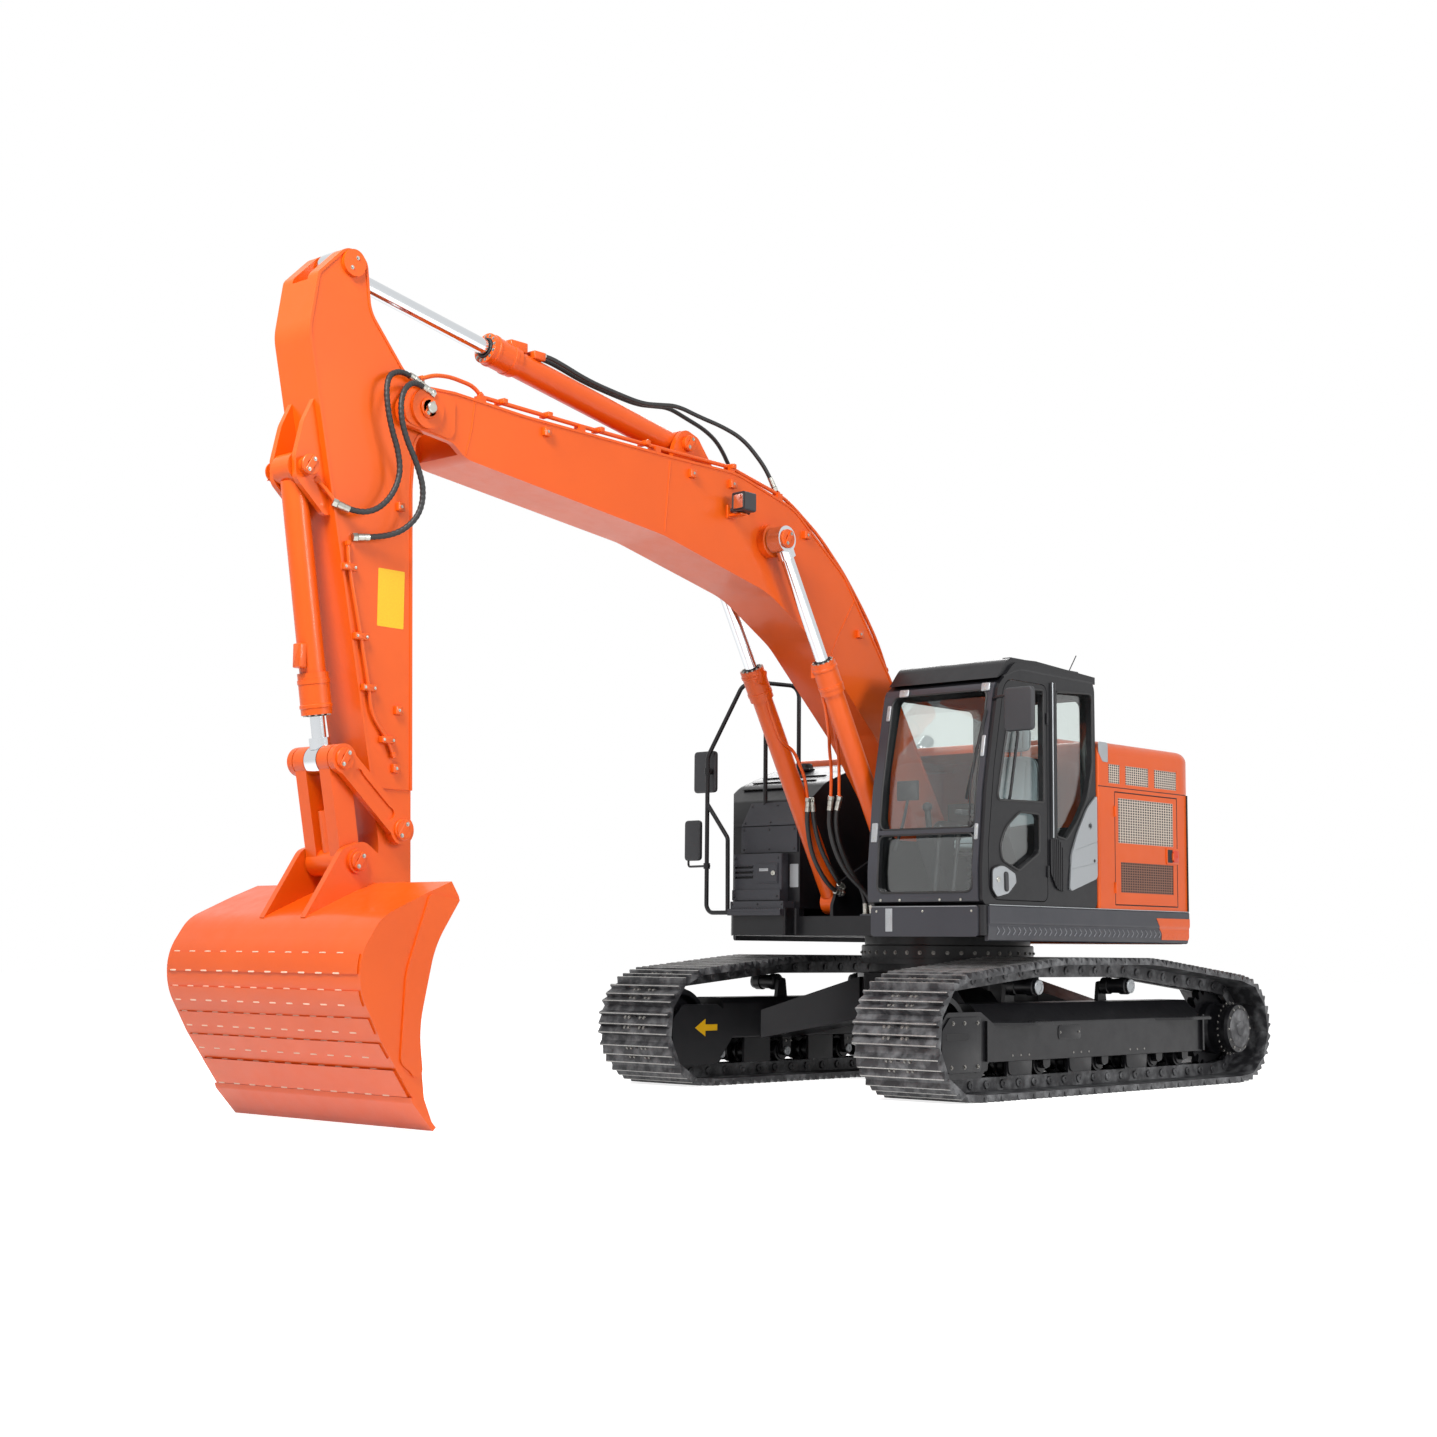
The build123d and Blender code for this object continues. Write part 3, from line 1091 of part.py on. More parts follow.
def bucket():
    half = BUCKET_WIDTH / 2
    outline = BUCKET_BACK + BUCKET_MOUTH
    outer = side_shape(outline, -half, half)
    for low, high, proud in WEAR_BANDS:
        outer += grown_shape(outline, proud, 20 - half, half - 20) & box(6000, 6600, -half, half, low, high)
    # cutting edge below the lip and cutters on both sides
    outer += side_shape([(5898, 26, 0), (5918, 8, 0), (6064, 162, 30), (6072, 190, 0), (6050, 190, 0),
                         (6035, 168, 0)], -half - 8, half + 8)
    for y0 in (half - 2, -half - 10):
        outer += side_shape(SIDE_CUTTER, y0, y0 + 12)
    cavity_rows = [
        (5880, 20, 0), (6005, 168, 200), (6245, 493, 500), (6390, 750, 330), (6395, 940, 270),
        (6270, 1120, 220), (5980, 1240, 260), (5790, 1312, 0), (5600, 1312, 0), (5600, 20, 0),
    ]
    cavity = side_shape(cavity_rows, -half + BUCKET_PLATE, half - BUCKET_PLATE)
    body = outer - cavity
    ear_rows = [
        (BUCKET_PIN[0] - 120, BUCKET_PIN[1] - 60, 100), (BUCKET_PIN[0] - 110, BUCKET_PIN[1] + 90, 100),
        (BUCKET_LINK_PIN[0] - 50, BUCKET_LINK_PIN[1] + 120, 90),
        (BUCKET_LINK_PIN[0] + 100, BUCKET_LINK_PIN[1] + 70, 90), (6290, 1150, 0),
        (6200, 1140, 0), (5960, 1262, 60), (5820, 1310, 60),
        (BUCKET_PIN[0] + 60, BUCKET_PIN[1] - 110, 60),
    ]
    # room for the arm's nose
    body -= cross_pin(BUCKET_PIN, 165, -BUCKET_EAR_IN, BUCKET_EAR_IN)
    for side in (1, -1):
        ear = side_shape(ear_rows, BUCKET_EAR_IN, BUCKET_EAR_OUT)
        ear += cross_pin(BUCKET_PIN, 85, BUCKET_EAR_OUT - 5, BUCKET_EAR_OUT + 20)
        ear += cross_pin(BUCKET_LINK_PIN, 70, BUCKET_EAR_OUT - 5, BUCKET_EAR_OUT + 20)
        body += ear if side > 0 else mirrored(ear)
    for place in (BUCKET_PIN, BUCKET_LINK_PIN):
        body += cross_pin(place, PIN_RADIUS, -BUCKET_EAR_OUT, BUCKET_EAR_OUT)
    return body


def work_lamp():
    lamp = box(2735, 2850, BOOM_HALF + 60, BOOM_HALF + 180, 3960, 4090)
    lamp = fillet(lamp.edges().filter_by(Axis.X), 15)
    return lamp + rod_between((2793, BOOM_HALF - PLATE_DEPTH, 3985), (2793, BOOM_HALF + 80, 3985), 14)


def pipe_runs(radius):
    # two rigid pipes along the boom's top, lying in saddles
    solids = []
    for y in (-PIPE_Y, PIPE_Y):
        rows = [(x, y, z, 300) for x, z in PIPE_PADS]
        solids.append(tube_along(rows, radius))
    return Compound(children=solids)


PARTS = {
    "centre_frame": centre_frame,
    "slew_ring_lower": lambda: ring(PEDESTAL_TOP, RING_TOP, RING_INNER, RING_OUTER),
    "slew_ring_upper": lambda: ring(RING_TOP + RING_GAP, DECK_BOTTOM, RING_INNER - 10, RING_OUTER - 25),
    "track_frame_left": lambda: track_frame(1),
    "track_frame_right": lambda: track_frame(-1),
    "track_left": lambda: track(1),
    "track_right": lambda: track(-1),
    "idlers": idlers,
    "sprockets": lambda: Compound(children=[sprocket(1), sprocket(-1)]),
    "lower_rollers": lower_rollers,
    "carrier_rollers": carrier_rollers,
    "deck": deck,
    "counterweight": counterweight,
    "left_housing": lambda: housing(1),
    "right_housing": lambda: housing(-1),
    "upper_cowl": upper_cowl,
    "engine_hood": engine_hood,
    "left_service_door": lambda: service_door(1),
    "right_service_door": lambda: service_door(-1),
    "engine": engine,
    "exhaust": exhaust,
    "tank_housing": tank_housing,
    "step_box": step_box,
    "side_skirts": side_skirts,
    "cab_shell": cab_shell,
    "cab_glass": cab_glass,
    "screen_frame": screen_frame,
    "cab_cover": cab_cover,
    "cab_door": cab_door,
    "cab_door_glass": cab_door_glass,
    "seat": seat,
    "consoles": consoles,
    "mirrors": mirrors,
    "handrail": handrail,
    "boom": boom,
    "boom_pipes": lambda: pipe_runs(PIPE_RADIUS),
    "work_lamp": work_lamp,
    "arm": arm,
    "side_links": side_links,
    "bucket_link": bucket_link,
    "bucket": bucket,
    "arm_barrel": lambda: barrel(ARM_CYLINDER_BASE, ARM_CYLINDER_EYE, 0, 1716, 85, 50, 86, 95),
    "arm_rod": lambda: rod(ARM_CYLINDER_BASE, ARM_CYLINDER_EYE, 0, 1820, 50, EYE_HALF, 95),
    "bucket_barrel": lambda: barrel(BUCKET_CYLINDER_BASE, BUCKET_CYLINDER_EYE, 0, 1380, 75, 42, 78, 90),
    "bucket_rod": lambda: rod(BUCKET_CYLINDER_BASE, BUCKET_CYLINDER_EYE, 0, 1440, 42, EYE_HALF, 85),
}
for name, side in (("left", 1), ("right", -1)):
    y = side * BOOM_CYLINDER_Y
    PARTS["boom_barrel_" + name] = lambda y=y: barrel(
        BOOM_CYLINDER_BASE, BOOM_CYLINDER_EYE, y, 1890, 74, 46, 58, 92)
    PARTS["boom_rod_" + name] = lambda y=y: rod(
        BOOM_CYLINDER_BASE, BOOM_CYLINDER_EYE, y, 1900, 46, 58, 92)

for name, make in PARTS.items():
    export_step(make(), "parts/" + name + ".step")
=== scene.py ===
import bpy
import bmesh
import math
import numpy as np
from mathutils import Matrix, Vector


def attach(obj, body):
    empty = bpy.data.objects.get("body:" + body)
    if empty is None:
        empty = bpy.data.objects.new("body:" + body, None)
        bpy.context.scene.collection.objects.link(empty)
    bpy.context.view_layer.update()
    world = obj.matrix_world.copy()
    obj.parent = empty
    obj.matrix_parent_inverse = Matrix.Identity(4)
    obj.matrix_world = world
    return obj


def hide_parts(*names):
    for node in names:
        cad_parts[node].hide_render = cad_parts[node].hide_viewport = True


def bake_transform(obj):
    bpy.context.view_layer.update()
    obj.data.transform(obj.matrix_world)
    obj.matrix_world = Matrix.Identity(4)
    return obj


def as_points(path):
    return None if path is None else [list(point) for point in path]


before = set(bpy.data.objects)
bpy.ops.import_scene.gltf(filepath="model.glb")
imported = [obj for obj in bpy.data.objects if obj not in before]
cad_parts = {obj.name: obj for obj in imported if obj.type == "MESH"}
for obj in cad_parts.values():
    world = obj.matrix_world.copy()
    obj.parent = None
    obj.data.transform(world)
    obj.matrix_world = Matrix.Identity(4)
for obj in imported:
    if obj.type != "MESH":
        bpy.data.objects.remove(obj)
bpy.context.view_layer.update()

# Crawler excavator: every piece is added in metres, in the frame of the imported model.
print("frame loaded:", len(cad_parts), "nodes")


def linearColour(hexValue):
    # sRGB hex to the linear colour that a socket takes
    channels = np.array([int(hexValue[i:i + 2], 16) for i in (1, 3, 5)]) / 255
    linear = np.where(channels <= 0.04045, channels / 12.92, ((channels + 0.055) / 1.055) ** 2.4)
    return (*linear.tolist(), 1.0)


def addNode(tree, kind, inputs=None, **settings):
    # one node: settings are its properties, inputs are values or the sockets that feed it
    node = tree.nodes.new(kind)
    for key, value in settings.items():
        setattr(node, key, value)
    for key, value in (inputs or {}).items():
        socket = node.inputs[key]
        if isinstance(value, bpy.types.NodeSocket):
            tree.links.new(value, socket)
        else:
            socket.default_value = value
    return node


def newMaterial(name):
    material = bpy.data.materials.new(name)
    material.use_nodes = True
    tree = material.node_tree
    tree.nodes.clear()
    return material, tree


def colourRamp(tree, factor, stops):
    # stops: position, linear colour
    ramp = addNode(tree, "ShaderNodeValToRGB", {"Fac": factor})
    elements = ramp.color_ramp.elements
    elements[0].position, elements[0].color = stops[0]
    elements[1].position, elements[1].color = stops[-1]
    for position, colour in stops[1:-1]:
        elements.new(position).color = colour
    return ramp.outputs["Color"]


def bumpOf(tree, height, depth, strength):
    bump = addNode(tree, "ShaderNodeBump", {"Height": height, "Distance": depth, "Strength": strength})
    return bump.outputs["Normal"]


def objectPlace(tree):
    return addNode(tree, "ShaderNodeTexCoord").outputs["Object"]


def sprayedPaint(name, look):
    # spray-painted steel: an orange-peel skin a few mm across
    # and faint cloudiness in the tone, under a clear glossy surface
    material, tree = newMaterial(name)
    place = objectPlace(tree)
    cloud = addNode(tree, "ShaderNodeTexNoise", {"Vector": place, "Scale": 1 / look["cloudM"], "Detail": 5.0})
    tone = colourRamp(tree, cloud.outputs["Fac"], [
        (0.3, linearColour(look["shade"])), (0.7, linearColour(look["colour"]))])
    peel = addNode(tree, "ShaderNodeTexNoise", {"Vector": place, "Scale": 1 / look["peelM"], "Detail": 2.0})
    streak = addNode(tree, "ShaderNodeTexNoise", {"Vector": place, "Scale": 9.0, "Detail": 8.0, "Roughness": 0.65})
    gloss = addNode(tree, "ShaderNodeMapRange", {
        "Value": streak.outputs["Fac"], "From Min": 0.35, "From Max": 0.7,
        "To Min": look["roughness"], "To Max": look["roughness"] + look["roughSpread"]})
    shader = addNode(tree, "ShaderNodeBsdfPrincipled", {
        "Base Color": tone, "Roughness": gloss.outputs["Result"], "IOR": look["ior"],
        "Coat Weight": look["coat"], "Coat Roughness": look["coatRoughness"],
        "Normal": bumpOf(tree, peel.outputs["Fac"], look["peelDepthM"], 0.5)})
    addNode(tree, "ShaderNodeOutputMaterial", {"Surface": shader.outputs["BSDF"]})
    return material


paintLooks = {
    "orangeEnamel": dict(colour="#E25A06", shade="#D85204", cloudM=1.1, peelM=0.006, peelDepthM=0.0003, ior=1.42,
                         roughness=0.34, roughSpread=0.1, coat=0.16, coatRoughness=0.1),
    "satinBlackEnamel": dict(colour="#19191C", shade="#131316", cloudM=0.8, peelM=0.005, peelDepthM=0.0003, ior=1.35,
                             roughness=0.34, roughSpread=0.14, coat=0.12, coatRoughness=0.12),
    "charcoalEnamel": dict(colour="#3B3C42", shade="#33343A", cloudM=0.8, peelM=0.005, peelDepthM=0.0003, ior=1.38,
                           roughness=0.4, roughSpread=0.12, coat=0.15, coatRoughness=0.3),
}
paints = {name: sprayedPaint(name, look) for name, look in paintLooks.items()}
orangeEnamel = paints["orangeEnamel"]
satinBlackEnamel = paints["satinBlackEnamel"]
charcoalEnamel = paints["charcoalEnamel"]


def hardChrome():
    # ground hard chrome on a cylinder rod: near mirror, with fine rings left by grinding
    look = dict(colour="#D3D6D9", roughness=0.1, ringM=0.0015)
    material, tree = newMaterial("hardChrome")
    place = objectPlace(tree)
    rings = addNode(tree, "ShaderNodeTexNoise", {"Vector": place, "Scale": 1 / look["ringM"] / 8, "Detail": 3.0})
    gloss = addNode(tree, "ShaderNodeMapRange", {
        "Value": rings.outputs["Fac"], "To Min": look["roughness"] - 0.04, "To Max": look["roughness"] + 0.08})
    shader = addNode(tree, "ShaderNodeBsdfPrincipled", {
        "Base Color": linearColour(look["colour"]), "Metallic": 1.0, "Roughness": gloss.outputs["Result"]})
    addNode(tree, "ShaderNodeOutputMaterial", {"Surface": shader.outputs["BSDF"]})
    return material


def safetyGlass():
    # clear laminated glass with a faint grey-green body and sharp reflections
    material, tree = newMaterial("safetyGlass")
    look = dict(tint="#F5F8F7", ior=1.52, roughness=0.02, mirrorLeast=0.02)
    clear = addNode(tree, "ShaderNodeBsdfTransparent", {"Color": linearColour(look["tint"])})
    mirror = addNode(tree, "ShaderNodeBsdfGlossy", {
        "Color": linearColour("#FFFFFF"), "Roughness": look["roughness"]})
    # seen from within the pane the node turns the index over, so the back face gets its inverse
    side = addNode(tree, "ShaderNodeNewGeometry")
    index = addNode(tree, "ShaderNodeMapRange", {
        "Value": side.outputs["Backfacing"], "To Min": look["ior"], "To Max": 1 / look["ior"]})
    share = addNode(tree, "ShaderNodeFresnel", {"IOR": index.outputs["Result"]})
    lifted = addNode(tree, "ShaderNodeMapRange", {
        "Value": share.outputs["Fac"], "To Min": look["mirrorLeast"], "To Max": 1.0})
    mixed = addNode(tree, "ShaderNodeMixShader", {
        0: lifted.outputs["Result"], 1: clear.outputs["BSDF"], 2: mirror.outputs["BSDF"]})
    addNode(tree, "ShaderNodeOutputMaterial", {"Surface": mixed.outputs["Shader"]})
    return material


def wovenFabric(name, colour, shade, threadM=0.002):
    # seat cloth: a plain weave, with the thread drawn 2 mm wide so that it shows
    material, tree = newMaterial(name)
    place = objectPlace(tree)
    waves = [addNode(tree, "ShaderNodeTexWave", {"Vector": place, "Scale": 1 / threadM / 6.28, "Distortion": 0.4},
                     bands_direction=axis) for axis in ("Y", "Z")]
    weave = addNode(tree, "ShaderNodeMath", {0: waves[0].outputs["Fac"], 1: waves[1].outputs["Fac"]},
                    operation="MULTIPLY")
    tone = colourRamp(tree, weave.outputs["Value"], [(0.0, linearColour(shade)), (0.6, linearColour(colour))])
    shader = addNode(tree, "ShaderNodeBsdfPrincipled", {
        "Base Color": tone, "Roughness": 0.88, "Sheen Weight": 0.35, "Sheen Roughness": 0.5,
        "Normal": bumpOf(tree, weave.outputs["Value"], 0.0008, 0.6)})
    addNode(tree, "ShaderNodeOutputMaterial", {"Surface": shader.outputs["BSDF"]})
    return material


def forgedSteel():
    # black-dipped forged track steel with a dull grey bloom where the dip is thin
    look = dict(paint="#2E2E31", worn="#77787A", grainM=0.012, bloomM=0.09)
    material, tree = newMaterial("forgedTrackSteel")
    place = objectPlace(tree)
    grain = addNode(tree, "ShaderNodeTexNoise", {"Vector": place, "Scale": 1 / look["grainM"], "Detail": 4.0})
    bloom = addNode(tree, "ShaderNodeTexNoise", {"Vector": place, "Scale": 1 / look["bloomM"], "Detail": 6.0})
    tone = colourRamp(tree, bloom.outputs["Fac"], [
        (0.42, linearColour(look["paint"])), (0.72, linearColour(look["worn"]))])
    gloss = addNode(tree, "ShaderNodeMapRange", {"Value": bloom.outputs["Fac"], "To Min": 0.34, "To Max": 0.56})
    shader = addNode(tree, "ShaderNodeBsdfPrincipled", {
        "Base Color": tone, "Roughness": gloss.outputs["Result"], "Metallic": 0.25,
        "Normal": bumpOf(tree, grain.outputs["Fac"], 0.0006, 0.5)})
    addNode(tree, "ShaderNodeOutputMaterial", {"Surface": shader.outputs["BSDF"]})
    return material


def plainFinish(name, look):
    # moulded, rubber and plated parts: one tone with a fine grain in bump and gloss
    material, tree = newMaterial(name)
    place = objectPlace(tree)
    grain = addNode(tree, "ShaderNodeTexNoise", {"Vector": place, "Scale": 1 / look["grainM"], "Detail": 4.0})
    tone = colourRamp(tree, grain.outputs["Fac"], [
        (0.3, linearColour(look["shade"])), (0.7, linearColour(look["colour"]))])
    gloss = addNode(tree, "ShaderNodeMapRange", {
        "Value": grain.outputs["Fac"], "To Min": look["roughness"] - 0.06, "To Max": look["roughness"] + 0.06})
    shader = addNode(tree, "ShaderNodeBsdfPrincipled", {
        "Base Color": tone, "Roughness": gloss.outputs["Result"], "Metallic": look.get("metallic", 0.0),
        "Normal": bumpOf(tree, grain.outputs["Fac"], look["depthM"], 0.5)})
    addNode(tree, "ShaderNodeOutputMaterial", {"Surface": shader.outputs["BSDF"]})
    return material


finishLooks = {
    "mouldedRubber": dict(colour="#1A1A1B", shade="#141415", grainM=0.002, depthM=0.0002, roughness=0.55),
    "mouldedAbs": dict(colour="#2E2F33", shade="#28292C", grainM=0.0015, depthM=0.0002, roughness=0.5),
    "zincPlate": dict(colour="#B9B8B0", shade="#A3A29B", grainM=0.004, depthM=0.0001, roughness=0.32, metallic=1.0),
    "wornSteel": dict(colour="#8C8A86", shade="#6A6865", grainM=0.006, depthM=0.0002, roughness=0.42, metallic=0.8),
    "stainlessSheet": dict(colour="#C9CCCE", shade="#BCBFC2", grainM=0.003, depthM=0.0001, roughness=0.28,
                           metallic=1.0),
    "silverEnamel": dict(colour="#A9ADB0", shade="#9EA2A5", grainM=0.005, depthM=0.0001, roughness=0.35,
                         metallic=0.35),
    "yellowEnamel": dict(colour="#EDB80E", shade="#E0AC0A", grainM=0.01, depthM=0.0001, roughness=0.35),
    # near-black for dark seams, and painted shade in holes, slots, the latch's well, behind grilles and along the
    # tail's swages
    "darkSeamsAndPaintedShade": dict(colour="#121214", shade="#0E0E10", grainM=0.01, depthM=0.0001, roughness=0.7),
    # grille sheets: a pale copy with painted light and a dark copy with painted shade of one sheet
    "paleMeshPaintedLight": dict(colour="#D9CBBE", shade="#CDBDAE", grainM=0.004, depthM=0.0001, roughness=0.4, metallic=0.2),
    "darkMeshPaintedShade": dict(colour="#8A5A44", shade="#7C4E3A", grainM=0.004, depthM=0.0001, roughness=0.45),
    "redOrangeAbs": dict(colour="#D8401A", shade="#CE3A16", grainM=0.003, depthM=0.0001, roughness=0.35),
    "paleCharcoal": dict(colour="#85868C", shade="#74757B", grainM=0.004, depthM=0.0001, roughness=0.4),
    # pale weld beads: a painted highlight on welds that are painted orange
    "weldBeadPaintedHighlight": dict(colour="#F3D9C4", shade="#E8B896", grainM=0.003, depthM=0.0002, roughness=0.4),
    # pale steel on the lug tips: a painted highlight along the lugs' edges
    "lugTipPaintedHighlight": dict(colour="#B4B3B0", shade="#8E8D8A", grainM=0.01, depthM=0.0002, roughness=0.36, metallic=0.75),
    "lampReflector": dict(colour="#E6E8EA", shade="#DCDEE0", grainM=0.01, depthM=0.0001, roughness=0.12,
                          metallic=1.0),
    "amberLens": dict(colour="#E07B1C", shade="#D06E14", grainM=0.01, depthM=0.0001, roughness=0.15),
    "mirrorSilver": dict(colour="#E4E7E9", shade="#E0E3E5", grainM=0.05, depthM=0.00001, roughness=0.07,
                         metallic=1.0),
}
finishes = {name: plainFinish(name, look) for name, look in finishLooks.items()}
rubber, zinc, silver = finishes["mouldedRubber"], finishes["zincPlate"], finishes["silverEnamel"]
seamAndShadeDark, moulded, worn = finishes["darkSeamsAndPaintedShade"], finishes["mouldedAbs"], finishes["wornSteel"]
chrome = hardChrome()
glass = safetyGlass()
seatCloth = wovenFabric("seatCloth", "#A4B0B4", "#87939A")
trackSteel = forgedSteel()
print("materials made")


# Surfaces: every shape is a grid of points, worked out whole, with its quads.

def gridFaces(rows, columns, closeRows=False, closeColumns=False):
    # quads of a rows x columns grid of points, joined round where an edge is closed
    i, j = np.meshgrid(np.arange(rows - (not closeRows)), np.arange(columns - (not closeColumns)), indexing="ij")
    ni, nj = (i + 1) % rows, (j + 1) % columns
    return np.stack([i * columns + j, i * columns + nj, ni * columns + nj, ni * columns + j], -1).reshape(-1, 4)


def surface(points, closeRows=False, closeColumns=False, caps=False):
    # points: rows x columns x 3. caps closes the first and last row with one flat face each.
    rows, columns = points.shape[:2]
    faces = gridFaces(rows, columns, closeRows, closeColumns).tolist()
    if caps:
        faces += [list(range(columns))[::-1], list(range((rows - 1) * columns, rows * columns))]
    return points.reshape(-1, 3), faces


def unit(vector):
    vector = np.asarray(vector, float)
    return vector / np.linalg.norm(vector)


def axesFor(direction):
    # two unit vectors square to a direction, the first as level as it can be
    direction = unit(direction)
    side = np.cross((0, 0, 1), direction)
    if np.linalg.norm(side) < 1e-3:
        side = np.array((1.0, 0, 0))
    side = unit(side)
    return side, np.cross(direction, side)


def turned(start, direction, profile, count=24):
    # a profile of (distance, radius) turned about the line from start along direction:
    # point = start + distance * direction + radius * (cos a * side + sin a * up)
    side, up = axesFor(direction)
    angle = np.arange(count) * 2 * np.pi / count
    ring = np.cos(angle)[:, None] * side + np.sin(angle)[:, None] * up
    profile = np.asarray(profile, float)
    points = np.asarray(start, float) + profile[:, :1, None] * unit(direction) + profile[:, 1:, None] * ring
    return surface(points, closeColumns=True, caps=True)


def smoothPath(corners, bend, steps=7):
    # a steel tube's line: straight runs joined at each corner by a parabola that leaves
    # each run a bend's length before it: (1-t)^2 a + 2t(1-t) corner + t^2 b
    corners = np.asarray(corners, float)
    t = np.linspace(0, 1, steps)[:, None]
    line = [corners[:1]]
    for before, corner, after in zip(corners[:-2], corners[1:-1], corners[2:]):
        a = corner + unit(before - corner) * min(bend, np.linalg.norm(before - corner) * 0.48)
        b = corner + unit(after - corner) * min(bend, np.linalg.norm(after - corner) * 0.48)
        line.append((1 - t) ** 2 * a + 2 * t * (1 - t) * corner + t ** 2 * b)
    line.append(corners[-1:])
    return np.concatenate(line)


def framesAlong(line):
    # a direction and two cross axes at each point of a line, turned as little as possible
    line = np.asarray(line, float)
    step = np.gradient(line, axis=0)
    step /= np.linalg.norm(step, axis=1)[:, None]
    sides = np.empty_like(line)
    sides[0] = axesFor(step[0])[0]
    for k in range(1, len(line)):
        sides[k] = unit(sides[k - 1] - step[k] * (sides[k - 1] @ step[k]))
    return step, sides, np.cross(step, sides)


def carried(line, profile, closed=False):
    # a flat profile of (across, up) carried along a line: point + across * side + up * normal
    _, side, up = framesAlong(line)
    profile = np.asarray(profile, float)
    points = (np.asarray(line)[:, None] + profile[None, :, :1] * side[:, None]
              + profile[None, :, 1:] * up[:, None])
    return surface(points, closeRows=closed, closeColumns=True, caps=not closed)


def circleProfile(radius, count=12):
    angle = np.arange(count) * 2 * np.pi / count
    return np.stack([radius * np.cos(angle), radius * np.sin(angle)], -1)


def tubeAlong(corners, radius, bend, count=12):
    return carried(smoothPath(corners, bend), circleProfile(radius, count))


def roundedOutline(corners, steps=5):
    # corners: a, b, radius. Each is rounded by a parabola between the tangent points.
    corners = np.asarray(corners, float)
    t = np.linspace(0, 1, steps)[:, None]
    outline = []
    for k in range(len(corners)):
        before, corner, after = corners[k - 1, :2], corners[k, :2], corners[(k + 1) % len(corners), :2]
        radius = corners[k, 2]
        if radius <= 0:
            outline.append(corner[None])
            continue
        toward, away = unit(before - corner), unit(after - corner)
        half = math.acos(np.clip(toward @ away, -1, 1)) / 2
        reach = min(radius / max(math.tan(half), 1e-3), np.linalg.norm(before - corner) * 0.49,
                    np.linalg.norm(after - corner) * 0.49)
        a, b = corner + toward * reach, corner + away * reach
        outline.append((1 - t) ** 2 * a + 2 * t * (1 - t) * corner + t ** 2 * b)
    return np.concatenate(outline)


def insetOutline(outline, amount):
    # moves every point of an anticlockwise outline inwards by a distance, square to its sides
    before = outline - np.roll(outline, 1, axis=0)
    after = np.roll(outline, -1, axis=0) - outline
    before /= np.maximum(np.linalg.norm(before, axis=1), 1e-9)[:, None]
    after /= np.maximum(np.linalg.norm(after, axis=1), 1e-9)[:, None]
    normal = np.stack([-(before + after)[:, 1], (before + after)[:, 0]], -1)
    length = np.maximum(np.linalg.norm(normal, axis=1), 0.6)
    return outline + normal / (length ** 2)[:, None] * 2 * amount


def plate(outline, origin, across, up, thickness, edge=0.002, levels=3):
    # a flat plate with softly rounded edges: the outline at a row of depths, drawn in near
    # both faces by edge * (1 - sin a) at depth edge * (1 - cos a)
    outline = np.asarray(outline, float)
    area = np.sum(outline[:, 0] * np.roll(outline[:, 1], -1) - outline[:, 1] * np.roll(outline[:, 0], -1))
    if area < 0:
        outline = outline[::-1]
    across, up = unit(across), unit(up)
    out = np.cross(across, up)
    edge = min(edge, thickness * 0.45)
    angle = np.linspace(0, np.pi / 2, levels)
    rows = [(edge * (1 - math.sin(a)), edge * (1 - math.cos(a))) for a in angle]
    rows += [(inset, thickness - depth) for inset, depth in rows[::-1]]
    layers = []
    for inset, depth in rows:
        flat = insetOutline(outline, inset)
        layers.append(np.asarray(origin, float) + flat[:, :1] * across + flat[:, 1:] * up + depth * out)
    return surface(np.stack(layers), closeColumns=True, caps=True)


def slab(lowest, highest, edge=0.003):
    # a box with rounded edges between two corners
    lowest, highest = np.minimum(lowest, highest), np.maximum(lowest, highest)
    size = highest - lowest
    thin = int(np.argmin(size))
    a, b = [(1, 2), (2, 0), (0, 1)][thin]
    axes = np.eye(3)
    outline = roundedBox(0, 0, size[a], size[b], edge, 4)
    return plate(outline, lowest, axes[a], axes[b], size[thin], edge)


def hexBolt(place, direction, size):
    # a hexagon head with a chamfered top on a round washer
    washer = turned(place, direction, [(0, size * 0.95), (size * 0.14, size * 0.95)], 16)
    head = turned(np.asarray(place) + unit(direction) * size * 0.14, direction,
                  [(0, size * 0.62), (size * 0.4, size * 0.62), (size * 0.5, size * 0.5)], 6)
    return [washer, head]


def ringOfBolts(centre, direction, radius, count, size, phase=0.0):
    side, up = axesFor(direction)
    found = []
    for k in range(count):
        a = phase + k * 2 * math.pi / count
        found += hexBolt(np.asarray(centre) + radius * (math.cos(a) * side + math.sin(a) * up), direction, size)
    return found


